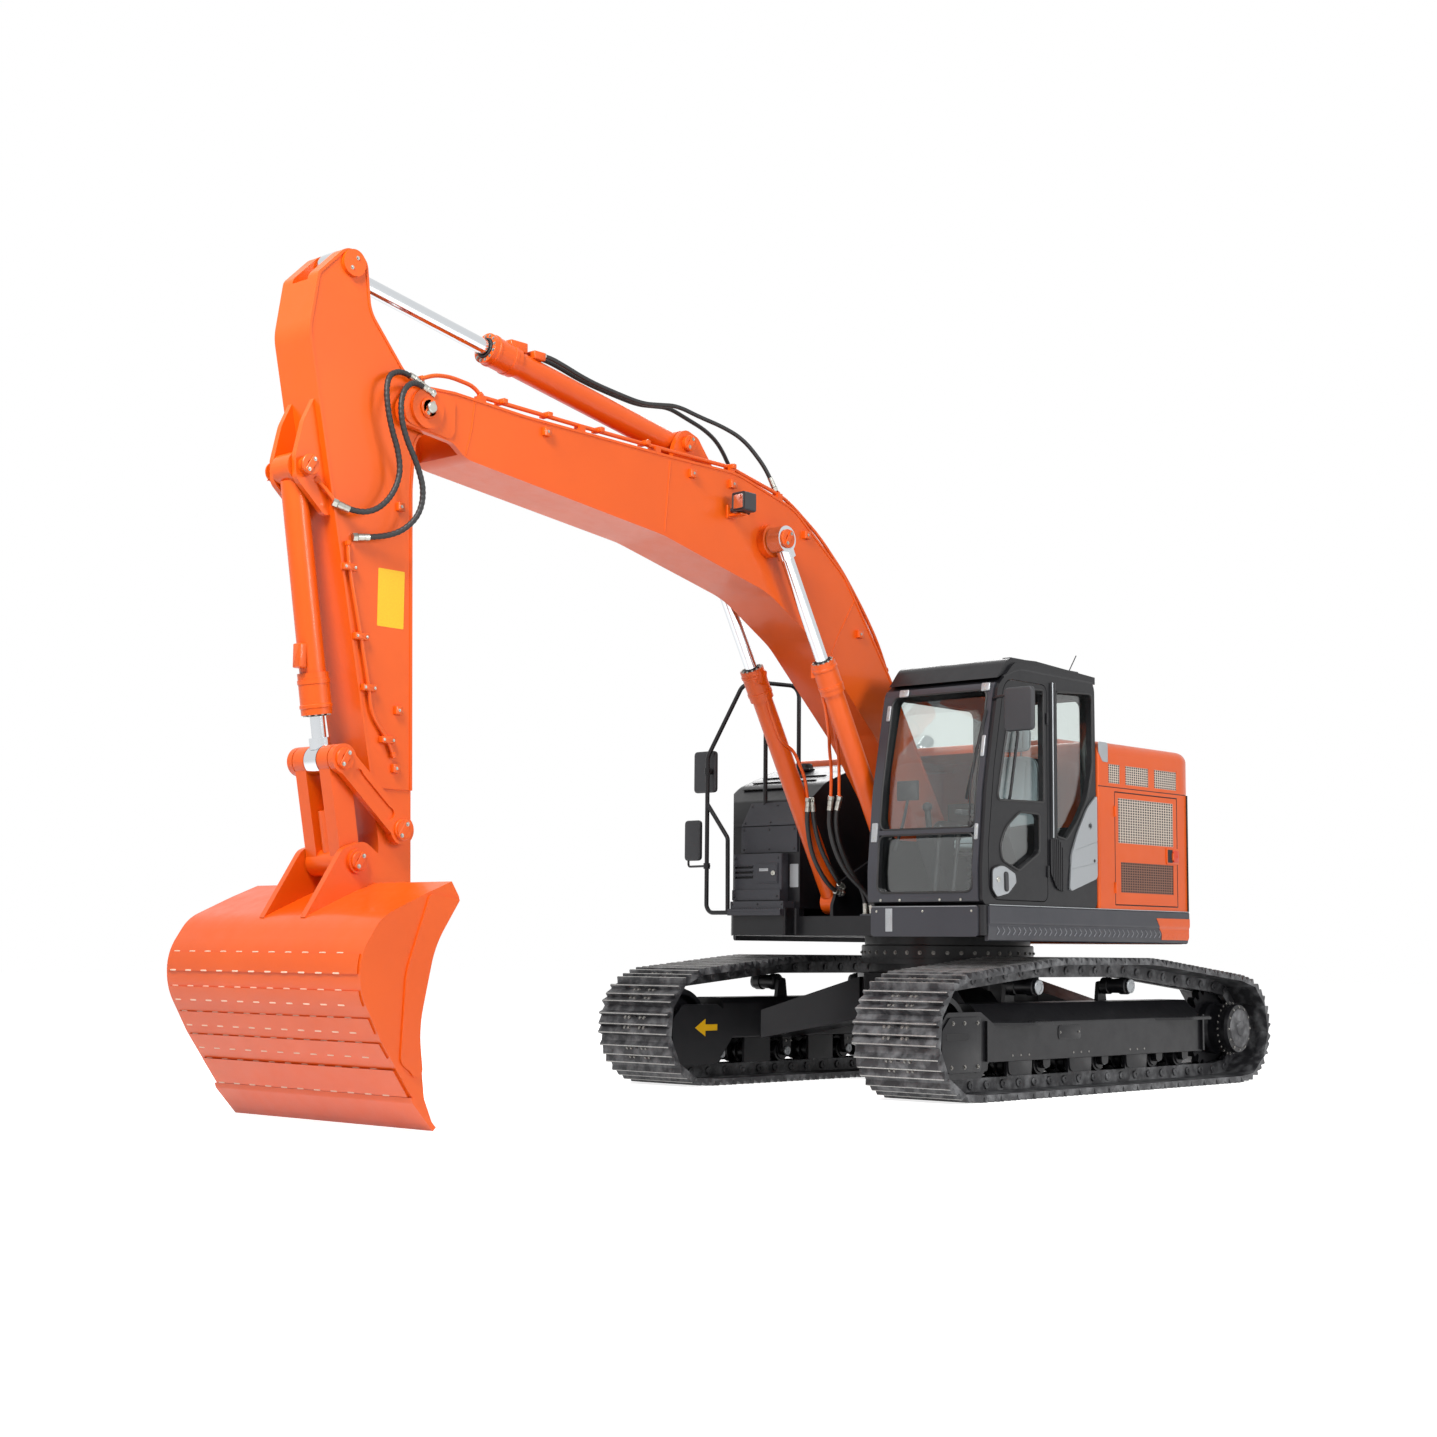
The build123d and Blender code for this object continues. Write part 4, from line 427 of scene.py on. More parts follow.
def makePiece(name, shapes, material, body, slotName=None, smooth=35, merge=True):
    # joins surfaces into one mesh, with doubles merged and faces pointing outwards
    points, faces, offset = [], [], 0
    for shapePoints, shapeFaces in shapes:
        points.append(np.asarray(shapePoints, float))
        faces += [[index + offset for index in face] for face in shapeFaces]
        offset += len(shapePoints)
    mesh = bpy.data.meshes.new(name)
    mesh.from_pydata(np.concatenate(points).tolist(), [], faces)
    work = bmesh.new()
    work.from_mesh(mesh)
    if merge:
        bmesh.ops.remove_doubles(work, verts=work.verts, dist=1e-5)
        bmesh.ops.dissolve_degenerate(work, edges=work.edges, dist=1e-6)
    bmesh.ops.recalc_face_normals(work, faces=work.faces)
    work.to_mesh(mesh)
    work.free()
    mesh.shade_smooth()
    mesh.set_sharp_from_angle(angle=math.radians(smooth))
    mesh.materials.append(material)
    piece = bpy.data.objects.new(name, mesh)
    bpy.context.scene.collection.objects.link(piece)
    if body:
        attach(piece, body)
    return piece


def mirroredShapes(shapes):
    # the same surfaces on the other side of the machine, with their faces turned back round
    return [(np.asarray(points) * (1, -1, 1), [face[::-1] for face in faces]) for points, faces in shapes]


sideTags = {1: "Left", -1: "Right"}


def makeSided(side, name, shapes, *rest, **more):
    # a piece drawn for the left side and put on either
    makePiece(name + sideTags[side], shapes if side > 0 else mirroredShapes(shapes), *rest, **more)


def makePair(name, shapes, *rest):
    for side in sideTags:
        makeSided(side, name, shapes, *rest)


def hexBolts(places, direction, size):
    return [shape for place in places for shape in hexBolt(place, direction, size)]


def roundedBox(a0, b0, a1, b1, radius, steps=5):
    # outline of a rectangle between two corners, with round corners
    return roundedOutline([(a0, b0, radius), (a1, b0, radius), (a1, b1, radius), (a0, b1, radius)], steps)


def sidePlate(outline, y, *rest):
    # a plate on the left wall: its outline's rows are z, x
    return plate(outline, (0, y, 0), (0, 0, 1), (1, 0, 0), *rest)


def frontPlate(outline, x, *rest):
    # a plate that faces forwards: its outline's rows are y, z
    return plate(outline, (x, 0, 0), (0, 1, 0), (0, 0, 1), *rest)


# Camera at the photograph's place: x, y, z in metres, its heading, rise and roll in radians
cameraLook = dict(place=(13.6873, 9.9389, 0.9848), heading=-2.408, rise=0.1069, roll=0.0087, lensMm=54.28)


def makeCamera(look):
    heading, rise, roll = look["heading"], look["rise"], look["roll"]
    ahead = np.array([math.cos(heading) * math.cos(rise), math.sin(heading) * math.cos(rise), math.sin(rise)])
    level = np.array([math.sin(heading), -math.cos(heading), 0])
    above = np.cross(level, ahead)
    right = math.cos(roll) * level + math.sin(roll) * above
    up = -math.sin(roll) * level + math.cos(roll) * above
    camera = bpy.data.objects.new("camera", bpy.data.cameras.new("camera"))
    camera.data.lens = look["lensMm"]
    camera.data.sensor_width = 36
    camera.data.clip_end = 200
    rows = [[right[k], up[k], -ahead[k], look["place"][k]] for k in range(3)]
    camera.matrix_world = Matrix(rows + [[0, 0, 0, 1]])
    bpy.context.scene.collection.objects.link(camera)
    bpy.context.scene.camera = camera


makeCamera(cameraLook)


# Hydraulic hoses: each line is one NURBS curve through a few listed points, in metres
def hoseLine(name, corners):
    curve = bpy.data.curves.new(name, "CURVE")
    curve.dimensions = "3D"
    spline = curve.splines.new("NURBS")
    spline.points.add(len(corners) - 1)
    for point, corner in zip(spline.points, corners):
        point.co = (*corner, 1)
    spline.order_u = 3
    spline.use_endpoint_u = True
    spline.resolution_u = 14
    holder = bpy.data.objects.new(name, curve)
    mesh = bpy.data.meshes.new_from_object(holder)
    line = np.array([vertex.co[:] for vertex in mesh.vertices])
    bpy.data.objects.remove(holder)
    bpy.data.meshes.remove(mesh)
    return line


def evenly(line, step):
    # the same line with points a step apart along its length
    run = np.concatenate([[0], np.cumsum(np.linalg.norm(np.diff(line, axis=0), axis=1))])
    places = np.linspace(0, run[-1], max(int(run[-1] / step), 8))
    return places, np.stack([np.interp(places, run, line[:, k]) for k in range(3)], -1)


hoseLook = dict(guardPitch=0.03, guardDepth=0.0022, ferruleLength=0.075)
hoses = {
    # diameter, bodies at its start and end, spiral guard, far end, points
    "armHoseUpper": (0.036, ("boom", "arm"), True, "object", [
        (5.56, 0.197, 4.325), (5.64, 0.198, 4.352), (5.73, 0.212, 4.352), (5.825, 0.24, 4.3),
        (5.855, 0.262, 4.18), (5.825, 0.268, 4.01), (5.755, 0.268, 3.85), (5.74, 0.268, 3.715),
        (5.806, 0.268, 3.575), (5.92, 0.262, 3.478), (6.03, 0.222, 3.462), (6.12, 0.178, 3.5)]),
    "armHoseLower": (0.036, ("boom", "arm"), True, "object", [
        (5.5, 0.236, 4.268), (5.59, 0.246, 4.296), (5.69, 0.275, 4.28), (5.775, 0.305, 4.19),
        (5.79, 0.318, 4.06), (5.745, 0.318, 3.93), (5.65, 0.318, 3.78), (5.6, 0.318, 3.64),
        (5.62, 0.305, 3.5), (5.71, 0.272, 3.395), (5.83, 0.22, 3.345), (5.975, 0.18, 3.33)]),
    "armCylinderHoseLeft": (0.03, ("arm_barrel", "boom"), False, "object", [
        (4.47, 0.04, 4.752), (4.38, 0.044, 4.758), (4.266, 0.05, 4.735), (4.012, 0.05, 4.672),
        (3.714, 0.045, 4.64), (3.495, 0.045, 4.622), (3.33, 0.05, 4.645), (3.172, 0.06, 4.668),
        (2.96, 0.07, 4.63), (2.75, 0.09, 4.6), (2.56, 0.12, 4.54), (2.4, 0.15, 4.4),
        (2.33, 0.162, 4.31), (2.285, 0.166, 4.24)]),
    "armCylinderHoseRight": (0.03, ("arm_barrel", "boom"), False, "object", [
        (4.47, -0.03, 4.752), (4.38, -0.026, 4.758), (4.266, -0.01, 4.738), (4.012, -0.002, 4.674),
        (3.714, -0.006, 4.642), (3.495, -0.006, 4.624), (3.33, -0.01, 4.646), (3.172, -0.02, 4.668),
        (2.96, -0.04, 4.63), (2.75, -0.07, 4.6), (2.56, -0.11, 4.54), (2.4, -0.145, 4.4),
        (2.33, -0.16, 4.31), (2.285, -0.166, 4.24)]),
    "boomCylinderHoseRightOuter": (0.034, ("upper", "boom_barrel_right"), False, "object", [
        (1.06, -0.203, 1.425), (1.11, -0.2, 1.43), (1.19, -0.198, 1.465), (1.27, -0.214, 1.545),
        (1.345, -0.25, 1.7), (1.392, -0.256, 1.9), (1.398, -0.25, 2.01), (1.4, -0.242, 2.085)]),
    "boomCylinderHoseRightInner": (0.034, ("upper", "boom_barrel_right"), False, "object", [
        (1.045, -0.203, 1.47), (1.105, -0.18, 1.488), (1.18, -0.148, 1.525), (1.25, -0.168, 1.62),
        (1.31, -0.205, 1.76), (1.352, -0.222, 1.92), (1.362, -0.226, 2.02), (1.366, -0.232, 2.085)]),
    "boomCylinderHoseLeftOuter": (0.034, ("upper", "boom_barrel_left"), False, "fitting", [
        (1.095, 0.12, 1.27), (1.105, 0.12, 1.33), (1.15, 0.112, 1.41), (1.23, 0.09, 1.475),
        (1.31, 0.045, 1.56), (1.38, 0.0, 1.71), (1.412, -0.03, 1.88), (1.42, -0.022, 2.0),
        (1.42, -0.01, 2.085)]),
    "boomCylinderHoseLeftInner": (0.034, ("upper", "boom_barrel_left"), False, "fitting", [
        (1.095, 0.06, 1.27), (1.1, 0.06, 1.345), (1.135, 0.056, 1.44), (1.2, 0.048, 1.515),
        (1.27, 0.026, 1.62), (1.345, 0.01, 1.76), (1.386, 0.01, 1.9), (1.4, 0.03, 2.01),
        (1.4, 0.052, 2.085)]),
}


def ferruleAt(place, direction, radius):
    # crimped steel sleeve with a hexagon nut, reaching back over the hose's end
    back = unit(direction)
    length = hoseLook["ferruleLength"]
    sleeve = turned(place, back, [(0, radius * 0.8), (0.004, radius * 1.24), (length * 0.5, radius * 1.24),
                                  (length * 0.52, radius * 1.14), (length * 0.6, radius * 1.14),
                                  (length * 0.62, radius * 1.24), (length, radius * 1.18),
                                  (length, radius * 0.9)], 16)
    nut = turned(np.asarray(place) - back * 0.03, back, [(0, radius * 1.2), (0.002, radius * 1.42),
                                                         (0.03, radius * 1.42), (0.032, radius * 1.2)], 6)
    return [sleeve, nut]


def makeHose(name, diameter, bodies, guarded, farEnd, corners):
    line = hoseLine(name + "Line", corners)
    run, line = evenly(line, 0.006 if guarded else 0.014)
    radius = diameter / 2
    step, side, up = framesAlong(line)
    # a spiral guard swells and narrows the tube along its length: radius - depth * (1 + cos 2 pi s / pitch) / 2
    swell = radius - guarded * hoseLook["guardDepth"] * (1 + np.cos(run * 2 * np.pi / hoseLook["guardPitch"])) / 2
    angle = np.arange(14) * 2 * np.pi / 14
    ring = np.cos(angle)[None, :, None] * side[:, None] + np.sin(angle)[None, :, None] * up[:, None]
    tube = surface(line[:, None] + ring * swell[:, None, None], closeColumns=True, caps=True)
    piece = makePiece(name, [tube], rubber, None, smooth=60)
    first, second = bodies
    for place, heading, body, tag in ((line[0], step[0], first, "Start"), (line[-1], -step[-1], second, "End")):
        makePiece(name + tag, ferruleAt(place, heading, radius), zinc, body)
    tuple(line[0])
    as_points(line)
    tuple(line[0])
    tuple(line[-1])
    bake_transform(piece)


for name, (diameter, bodies, guarded, farEnd, corners) in hoses.items():
    makeHose(name, diameter, bodies, guarded, farEnd, corners)
print("hoses made")


# Tracks: shoe bolts, dark plates of painted shade in the shoes' slots, link bosses, wheel trim and guards
trackLook = dict(gauge=2.39, shoes=49, seat=0.05, shoe=0.012, lug=0.026, boltM=0.017)
trackCircles = [(1.83, 0.43, 0.3405), (0.735, 0.751, 0.121), (-0.49, 0.751, 0.121),
                (-1.83, 0.415, 0.3261), (-1.323, 0.221, 0.133), (1.563, 0.221, 0.133)]


def linkPins(circles, count):
    # pins evenly spaced round a belt: straight runs tangent to each pair of circles, and arcs between them
    circles = np.asarray(circles)
    after = np.roll(circles, -1, axis=0)
    run = after[:, :2] - circles[:, :2]
    length = np.hypot(*run.T)
    normal = np.arctan2(run[:, 1], run[:, 0]) - np.pi / 2 - np.arcsin((after[:, 2] - circles[:, 2]) / length)
    out = np.stack([np.cos(normal), np.sin(normal)], -1)
    starts, ends = circles[:, :2] + circles[:, 2:] * out, after[:, :2] + after[:, 2:] * out
    line = []
    for k in range(len(circles)):
        line.append(np.linspace(starts[k], ends[k], 60))
        turn = (normal[(k + 1) % len(circles)] - normal[k]) % (2 * np.pi)
        angle = normal[k] + np.linspace(0, turn, 60)[1:-1]
        line.append(after[k, :2] + after[k, 2] * np.stack([np.cos(angle), np.sin(angle)], -1))
    line = np.concatenate(line + [starts[:1]])
    run = np.concatenate([[0], np.cumsum(np.hypot(*np.diff(line, axis=0).T))])
    places = np.arange(count) * run[-1] / count
    return np.stack([np.interp(places, run, line[:, 0]), np.interp(places, run, line[:, 1])], -1)


def shoePlaces(side):
    # each shoe's first pin, the ways along it and outwards, and its length
    places = linkPins(trackCircles, trackLook["shoes"])
    for (x, z), (nx, nz) in zip(places, np.roll(places, -1, axis=0)):
        along = unit((nx - x, 0, nz - z))
        out = np.array((along[2], 0, -along[0]))
        yield np.array((x, side * trackLook["gauge"] / 2, z)), along, out, math.hypot(nx - x, nz - z)


def trackDetail(side):
    bolts, slotShades, bosses = [], [], []
    for start, along, out, pitch in shoePlaces(side):
        for share in (0.31, 0.7):
            for y in (-0.095, -0.055, 0.055, 0.095):
                bolts += hexBolt(start + along * pitch * share + (0, y, 0) + out * 0.066, out, trackLook["boltM"])
        # the shoe's hole is a dark oval plate: painted shade
        oval = roundedBox(-0.016, -0.026, 0.016, 0.026, 0.016, 4)
        slotShades.append(plate(oval, start + along * pitch * 0.66 + out * 0.062, (0, 1, 0), along, 0.008, 0.002))
        for y in (-0.096, 0.096):
            heading = np.array((0, math.copysign(1, y), 0))
            bosses.append(turned(start + (0, y - math.copysign(0.004, y), 0) + out * -0.006, heading,
                                 [(0, 0.03), (0.01, 0.03), (0.013, 0.026), (0.013, 0.014), (0.009, 0.012)], 14))
            link = roundedOutline([(-0.086, -0.044, 0.03), (0.086, -0.044, 0.03), (0.07, 0.034, 0.02),
                                   (-0.07, 0.034, 0.02)], 4)
            across, up = (along, out) if y < 0 else (-along, out)
            bosses.append(plate(link, start + along * pitch / 2 + (0, y - math.copysign(0.004, y), 0), across, up,
                                0.009, 0.002, 2))
    tag = sideTags[side]
    makePiece("shoeBolts" + tag, bolts, worn, "root", "track_steel")
    makePiece("shoeSlotShade" + tag, slotShades, seamAndShadeDark, "root", "track_steel")
    makePiece("chainLinks" + tag, bosses, trackSteel, "root", "track_steel")


for side in sideTags:
    trackDetail(side)


def wheelTrim():
    # bolted cover of the travel drive, idler hub caps, roller end caps and carrier caps, on the left side
    cover = [turned((-1.83, 1.482, 0.415), (0, 1, 0), [(0, 0.15), (0.01, 0.15), (0.016, 0.144), (0.016, 0.06),
                                                        (0.024, 0.052), (0.024, 0.02), (0.021, 0.001)], 40)]
    angle = np.arange(240) * 2 * np.pi / 240
    radius = 0.176 + 0.006 * np.cos(12 * angle)
    rim = np.stack([radius * np.cos(angle), radius * np.sin(angle)], -1)
    cover.append(plate(rim, (-1.83, 1.472, 0.415), (0, 0, 1), (1, 0, 0), 0.014, 0.003))
    bolts = ringOfBolts((-1.83, 1.486, 0.415), (0, 1, 0), 0.165, 12, 0.013)
    bolts += ringOfBolts((-1.83, 1.406, 0.415), (0, 1, 0), 0.198, 24, 0.011)
    bolts += ringOfBolts((-1.83, 1.498, 0.415), (0, 1, 0), 0.035, 3, 0.01)
    caps = []
    for x in np.linspace(1.453, -1.213, 8):
        for edge in (1.345, 1.031):
            way = 1 if edge > 1.195 else -1
            caps.append(turned((x, edge - 0.008 * way, 0.221), (0, way, 0),
                               [(0, 0.036), (0.016, 0.036), (0.02, 0.031), (0.02, 0.012), (0.016, 0.01)], 20))
            bolts += hexBolts([(x + dx, edge + 0.014 * way, 0.3) for dx in (-0.028, 0.028)], (0, way, 0), 0.01)
    for x in (0.735, -0.49):
        caps.append(turned((x, 1.322, 0.751), (0, 1, 0), [(0, 0.053), (0.008, 0.053), (0.012, 0.048),
                                                          (0.012, 0.03), (0.008, 0.028), (0.01, 0.012)], 28))
        bolts += ringOfBolts((x, 1.332, 0.751), (0, 1, 0), 0.04, 3, 0.007, 0.5)
    hub = [turned((1.83, 1.366, 0.43), (0, 1, 0), [(0, 0.06), (0.01, 0.06), (0.014, 0.054), (0.014, 0.022),
                                                     (0.01, 0.018)], 28)]
    bolts += ringOfBolts((1.83, 1.374, 0.43), (0, 1, 0), 0.04, 4, 0.009, 0.4)
    made = (("driveCover", cover, trackSteel), ("wheelBolts", bolts, worn), ("wheelCaps", caps + hub, silver))
    for name, shapes, material in made:
        makePair(name, shapes, material, "root", "track_steel")


wheelTrim()


def frameTrim():
    # idler guards' bolt-on cheeks with a slot, serrated step edges, chain guides and the tensioner's cover; the slot
    # and the steps' holes are dark plates of painted shade
    shapes, bolts, slotShades = [], [], []
    cheek = roundedOutline([(1.56, 0.19, 0.03), (1.935, 0.19, 0.05), (2.005, 0.3, 0.03), (2.005, 0.47, 0.05),
                            (1.915, 0.56, 0.05), (1.56, 0.56, 0.03)], 5)
    shapes.append(sidePlate(cheek[:, ::-1], 1.398, 0.014, 0.004))
    slot = roundedBox(1.7, 0.405, 1.96, 0.455, 0.025)
    slotShades.append(sidePlate(slot[:, ::-1], 1.4105, 0.003, 0.001, 2))
    bolts += hexBolts([(x, 1.411, z) for x, z in ((1.6, 0.23), (1.75, 0.23), (1.9, 0.23), (1.6, 0.52),
                                                  (1.75, 0.52), (1.88, 0.52))], (0, 1, 0), 0.016)
    for x0, x1 in ((0.852, 1.068), (-1.328, -1.052)):
        # a serrated strip: teeth 18 mm wide and 9 mm high along the step's outer edge
        run = np.arange(x0, x1, 0.009)
        top = 0.516 + 0.009 * (np.arange(len(run)) % 2)
        outline = np.concatenate([np.stack([run, top], -1), np.stack([run[::-1], np.full(len(run), 0.5)], -1)])
        for y in (1.509, 1.455):
            shapes.append(sidePlate(outline[:, ::-1], y, 0.007, 0.001, 2))
        for y in (1.42, 1.48):
            slotShades += [turned((x, y, 0.513), (0, 0, 1), [(0, 0.012), (0.004, 0.012), (0.005, 0.009)], 14)
                     for x in np.arange(x0 + 0.03, x1, 0.042)]
    for x in (1.072, 0.31, -0.451):
        guide = roundedOutline([(x - 0.14, 0.155, 0.05), (x + 0.14, 0.155, 0.05), (x + 0.148, 0.33, 0.01),
                                (x - 0.148, 0.33, 0.01)], 5)
        shapes.append(sidePlate(guide[:, ::-1], 1.385, 0.01, 0.003))
        bolts += hexBolts([(x + dx, 1.394, 0.29) for dx in (-0.1, 0.0, 0.1)], (0, 1, 0), 0.014)
    hatch = roundedBox(-0.13, 0.385, 0.16, 0.485, 0.03)
    shapes.append(plate(hatch[:, ::-1], (0.45, 1.399, 0), (0, 0, 1), (1, 0, 0), 0.006, 0.002))
    bolts += hexBolts([(x, 1.404, 0.435) for x in (0.345, 0.585)], (0, 1, 0), 0.011)
    for name, group, material in (("frameTrim", shapes, satinBlackEnamel), ("frameBolts", bolts, worn),
                                  ("frameSlotShade", slotShades, seamAndShadeDark)):
        makePair(name, group, material, "root", "black_paint")
    # plain yellow arrow on the far idler guard, pointing forwards
    arrow = [(1.549, 0.396), (1.68, 0.396), (1.68, 0.354), (1.793, 0.419), (1.68, 0.484), (1.68, 0.442),
             (1.549, 0.442)]
    makePiece("travelArrow", [sidePlate(np.array(arrow)[:, ::-1], -0.99, 0.0025, 0.0005, 2)],
              finishes["yellowEnamel"], "root", "track_steel")


frameTrim()
print("tracks dressed")


# Upper body: perforated grilles, latches, skirts, covers and the tail
def perforated(corner, across, up, width, height, columns, rows, hole, thickness):
    # a sheet pierced by holes that take the share called hole of their pitch: points stand on the holes'
    # edges both ways, the odd cells are open on both faces, and each opening gets four narrow walls
    def edges(span, count):
        pitch = span / count
        middle = (np.arange(count) + 0.5) * pitch
        rims = np.concatenate([middle - hole * pitch / 2, middle + hole * pitch / 2])
        return np.concatenate([[0], np.sort(rims), [span]])
    a, b = edges(width, columns), edges(height, rows)
    grid = np.asarray(corner) + a[None, :, None] * unit(across) + b[:, None, None] * unit(up)
    out = np.cross(unit(across), unit(up)) * thickness
    points = np.stack([grid, grid - out]).reshape(-1, 3)
    wide = len(a)
    i, j = np.meshgrid(np.arange(len(b) - 1), np.arange(wide - 1), indexing="ij")
    quads = np.stack([i * wide + j, i * wide + j + 1, (i + 1) * wide + j + 1, (i + 1) * wide + j], -1)
    open_ = (i % 2 == 1) & (j % 2 == 1)
    back = len(b) * wide
    faces = [quads[~open_], quads[~open_][:, ::-1] + back]
    for first, second in ((0, 1), (1, 2), (2, 3), (3, 0)):
        here, there = quads[open_][:, first], quads[open_][:, second]
        faces.append(np.stack([here, there, there + back, here + back], -1))
    rim = np.concatenate([np.arange(wide), np.arange(1, len(b)) * wide + wide - 1,
                          (len(b) - 1) * wide + np.arange(wide - 2, -1, -1), np.arange(len(b) - 2, 0, -1) * wide])
    faces.append(np.stack([np.roll(rim, -1), rim, rim + back, np.roll(rim, -1) + back], -1))
    return points, np.concatenate(faces).tolist()


def grilleSheets():
    # name, body, x from and to, z from and to, columns, rows, tone; the pale tone is painted light on the sheets, the
    # dark tone painted shade
    sheets = [("mainGrille", "service_door", -0.907, -0.118, 1.801, 2.131, 23, 17, "paleMeshPaintedLight"),
              ("lowerGrille", "service_door", -0.903, -0.15, 1.438, 1.661, 23, 12, "darkMeshPaintedShade"),
              ("cowlGrilleFront", "upper", -0.15, 0.01, 2.235, 2.375, 6, 8, "paleMeshPaintedLight"),
              ("cowlGrilleMiddle", "upper", -0.555, -0.225, 2.235, 2.375, 11, 8, "paleMeshPaintedLight"),
              ("cowlGrilleRear", "upper", -0.965, -0.635, 2.235, 2.375, 11, 8, "paleMeshPaintedLight")]
    for name, body, x0, x1, z0, z1, columns, rows, tone in sheets:
        y = 1.46 if body == "service_door" else 1.4585
        shapes = [perforated((x0, y, z0), (0, 0, 1), (1, 0, 0), z1 - z0, x1 - x0, rows, columns, 0.66, 0.002)]
        # a dark plate behind each sheet: painted shade seen through its holes
        back = [plate(np.array([(0, 0), (z1 - z0, 0), (z1 - z0, x1 - x0), (0, x1 - x0)]), (x0, y - 0.003, z0),
                      (0, 0, 1), (1, 0, 0), 0.002, 0.0005, 2)]
        for side, tag in sideTags.items():
            where = body if body == "upper" else tag.lower() + "_service_door"
            makeSided(side, name, shapes, finishes[tone], where, "orange_paint", merge=False)
            makeSided(side, name + "Back", back, seamAndShadeDark, where, "black_paint")


grilleSheets()


def doorTrim(side):
    # paddle latch in its square recess, whose well is a dark plate of painted shade, and dark seams round the door
    # and below the cowl
    y = 1.463
    latch = [sidePlate(roundedBox(1.668, -0.968, 1.79, -0.792, 0.012, 4), y, 0.008, 0.003)]
    latchWellShade = [sidePlate(np.array([(1.68, -0.876), (1.778, -0.876), (1.778, -0.806), (1.68, -0.806)]), y + 0.0075,
                      0.002, 0.0005, 2)]
    paddle = [sidePlate(roundedBox(1.684, -0.955, 1.774, -0.88, 0.01, 4), y + 0.007, 0.012, 0.004),
              turned((-0.93, y + 0.018, 1.729), (0, 1, 0), [(0, 0.011), (0.003, 0.011), (0.004, 0.008)], 18)]
    seams = []
    for x0, x1, z0, z1 in ((-0.96, -0.07, 2.172, 2.178), (-0.96, -0.07, 1.342, 1.348),
                           (-0.963, -0.957, 1.345, 2.175), (-0.073, -0.067, 1.345, 2.175)):
        seams.append(slab((x0, y - 0.004, z0), (x1, y + 0.0008, z1), 0.0003))
    seams.append(slab((-1.094, y - 0.004, 2.203), (0.145, y + 0.0012, 2.209), 0.0003))
    body = sideTags[side].lower() + "_service_door"
    makeSided(side, "latchFrame", latch, orangeEnamel, body, "orange_paint")
    makeSided(side, "latchRecessShade", latchWellShade, seamAndShadeDark, body, "black_paint")
    makeSided(side, "latchPaddle", paddle, finishes["redOrangeAbs"], body, "orange_paint")
    makeSided(side, "doorSeams", seams, seamAndShadeDark, "upper", "black_paint")


for side in sideTags:
    doorTrim(side)

# side skirt: its pressed profile, distance out from y = 1.463 m and height from z = 1.310 m
skirtProfile = np.array([(-0.004, 0.016), (-0.018, 0.0178), (-0.06, 0.018), (-0.1, 0.0178), (-0.118, 0.016),
                         (-0.128, 0.0085), (-0.134, 0.006), (-0.142, 0.0072), (-0.15, 0.01), (-0.175, 0.0082),
                         (-0.2, 0.0055), (-0.225, 0.0022)])


def skirtPoint(z):
    return 1.463 + np.interp(-(z - 1.31), -skirtProfile[:, 0], skirtProfile[:, 1])


def skirtTrim(side):
    # orange rear corner laid over the skirt: rows down the profile, front edge leaning back from row to row
    z = 1.31 + np.linspace(-0.053, -0.214, 22)
    front = np.where(z > 1.257, -0.611, -0.611 + (1.257 - z) * -0.76)
    front = np.where(z < 1.136, -0.703, front)
    share = np.linspace(0, 1, 12)
    x = front[:, None] + share[None] * (-1.0995 - front[:, None])
    outer = np.stack([x, np.broadcast_to((skirtPoint(z) + 0.0022)[:, None], x.shape),
                      np.broadcast_to(z[:, None], x.shape)], -1)
    inner = outer - (0, 0.0035, 0)
    loop = np.concatenate([outer, inner[:, ::-1]], axis=1)
    corner = surface(loop, closeColumns=True, caps=True)
    # pressed chevrons along the lower band: each is two short raised strokes that meet pointing back
    strokes = []
    for x in np.arange(-1.055, 1.48, 0.064):
        for z0, z1 in ((1.11, 1.138), (1.166, 1.138)):
            ends = np.array([(x + 0.013, z0), (x - 0.013, z1)])
            way = unit(np.append(ends[1] - ends[0], 0))[:2]
            wide = np.array([-way[1], way[0]]) * 0.0035
            flat = np.array([ends[0] - wide, ends[1] - wide, ends[1] + wide, ends[0] + wide])
            depth = skirtPoint(flat[:, 1])
            low = np.stack([flat[:, 0], depth - 0.001, flat[:, 1]], -1)
            high = np.stack([flat[:, 0] * 0.9 + flat[:, 0].mean() * 0.1, depth + 0.0032,
                             flat[:, 1] * 0.9 + flat[:, 1].mean() * 0.1], -1)
            strokes.append(surface(np.stack([low, high]), closeColumns=True, caps=True))
    limit = 1.48 if side > 0 else 0.8
    tone = [[], []]
    for shape in strokes:
        place = shape[0][:, 0].mean()
        if place < limit:
            tone[int(place < -0.7)].append(shape)
    bright = [slab((-1.096, 1.4635, 1.3085), (limit + 0.06, 1.4795, 1.3145), 0.002)]
    makeSided(side, "skirtCorner", [corner], orangeEnamel, "upper", "orange_paint")
    # the chevrons on the grey skirt are drawn lighter than the skirt
    makeSided(side, "skirtChevrons", tone[0], finishes["paleCharcoal"], "upper", "grey_paint")
    makeSided(side, "skirtCornerChevrons", tone[1], orangeEnamel, "upper", "orange_paint")
    makeSided(side, "skirtEdge", bright, silver, "upper", "silver_paint")


for side in sideTags:
    skirtTrim(side)


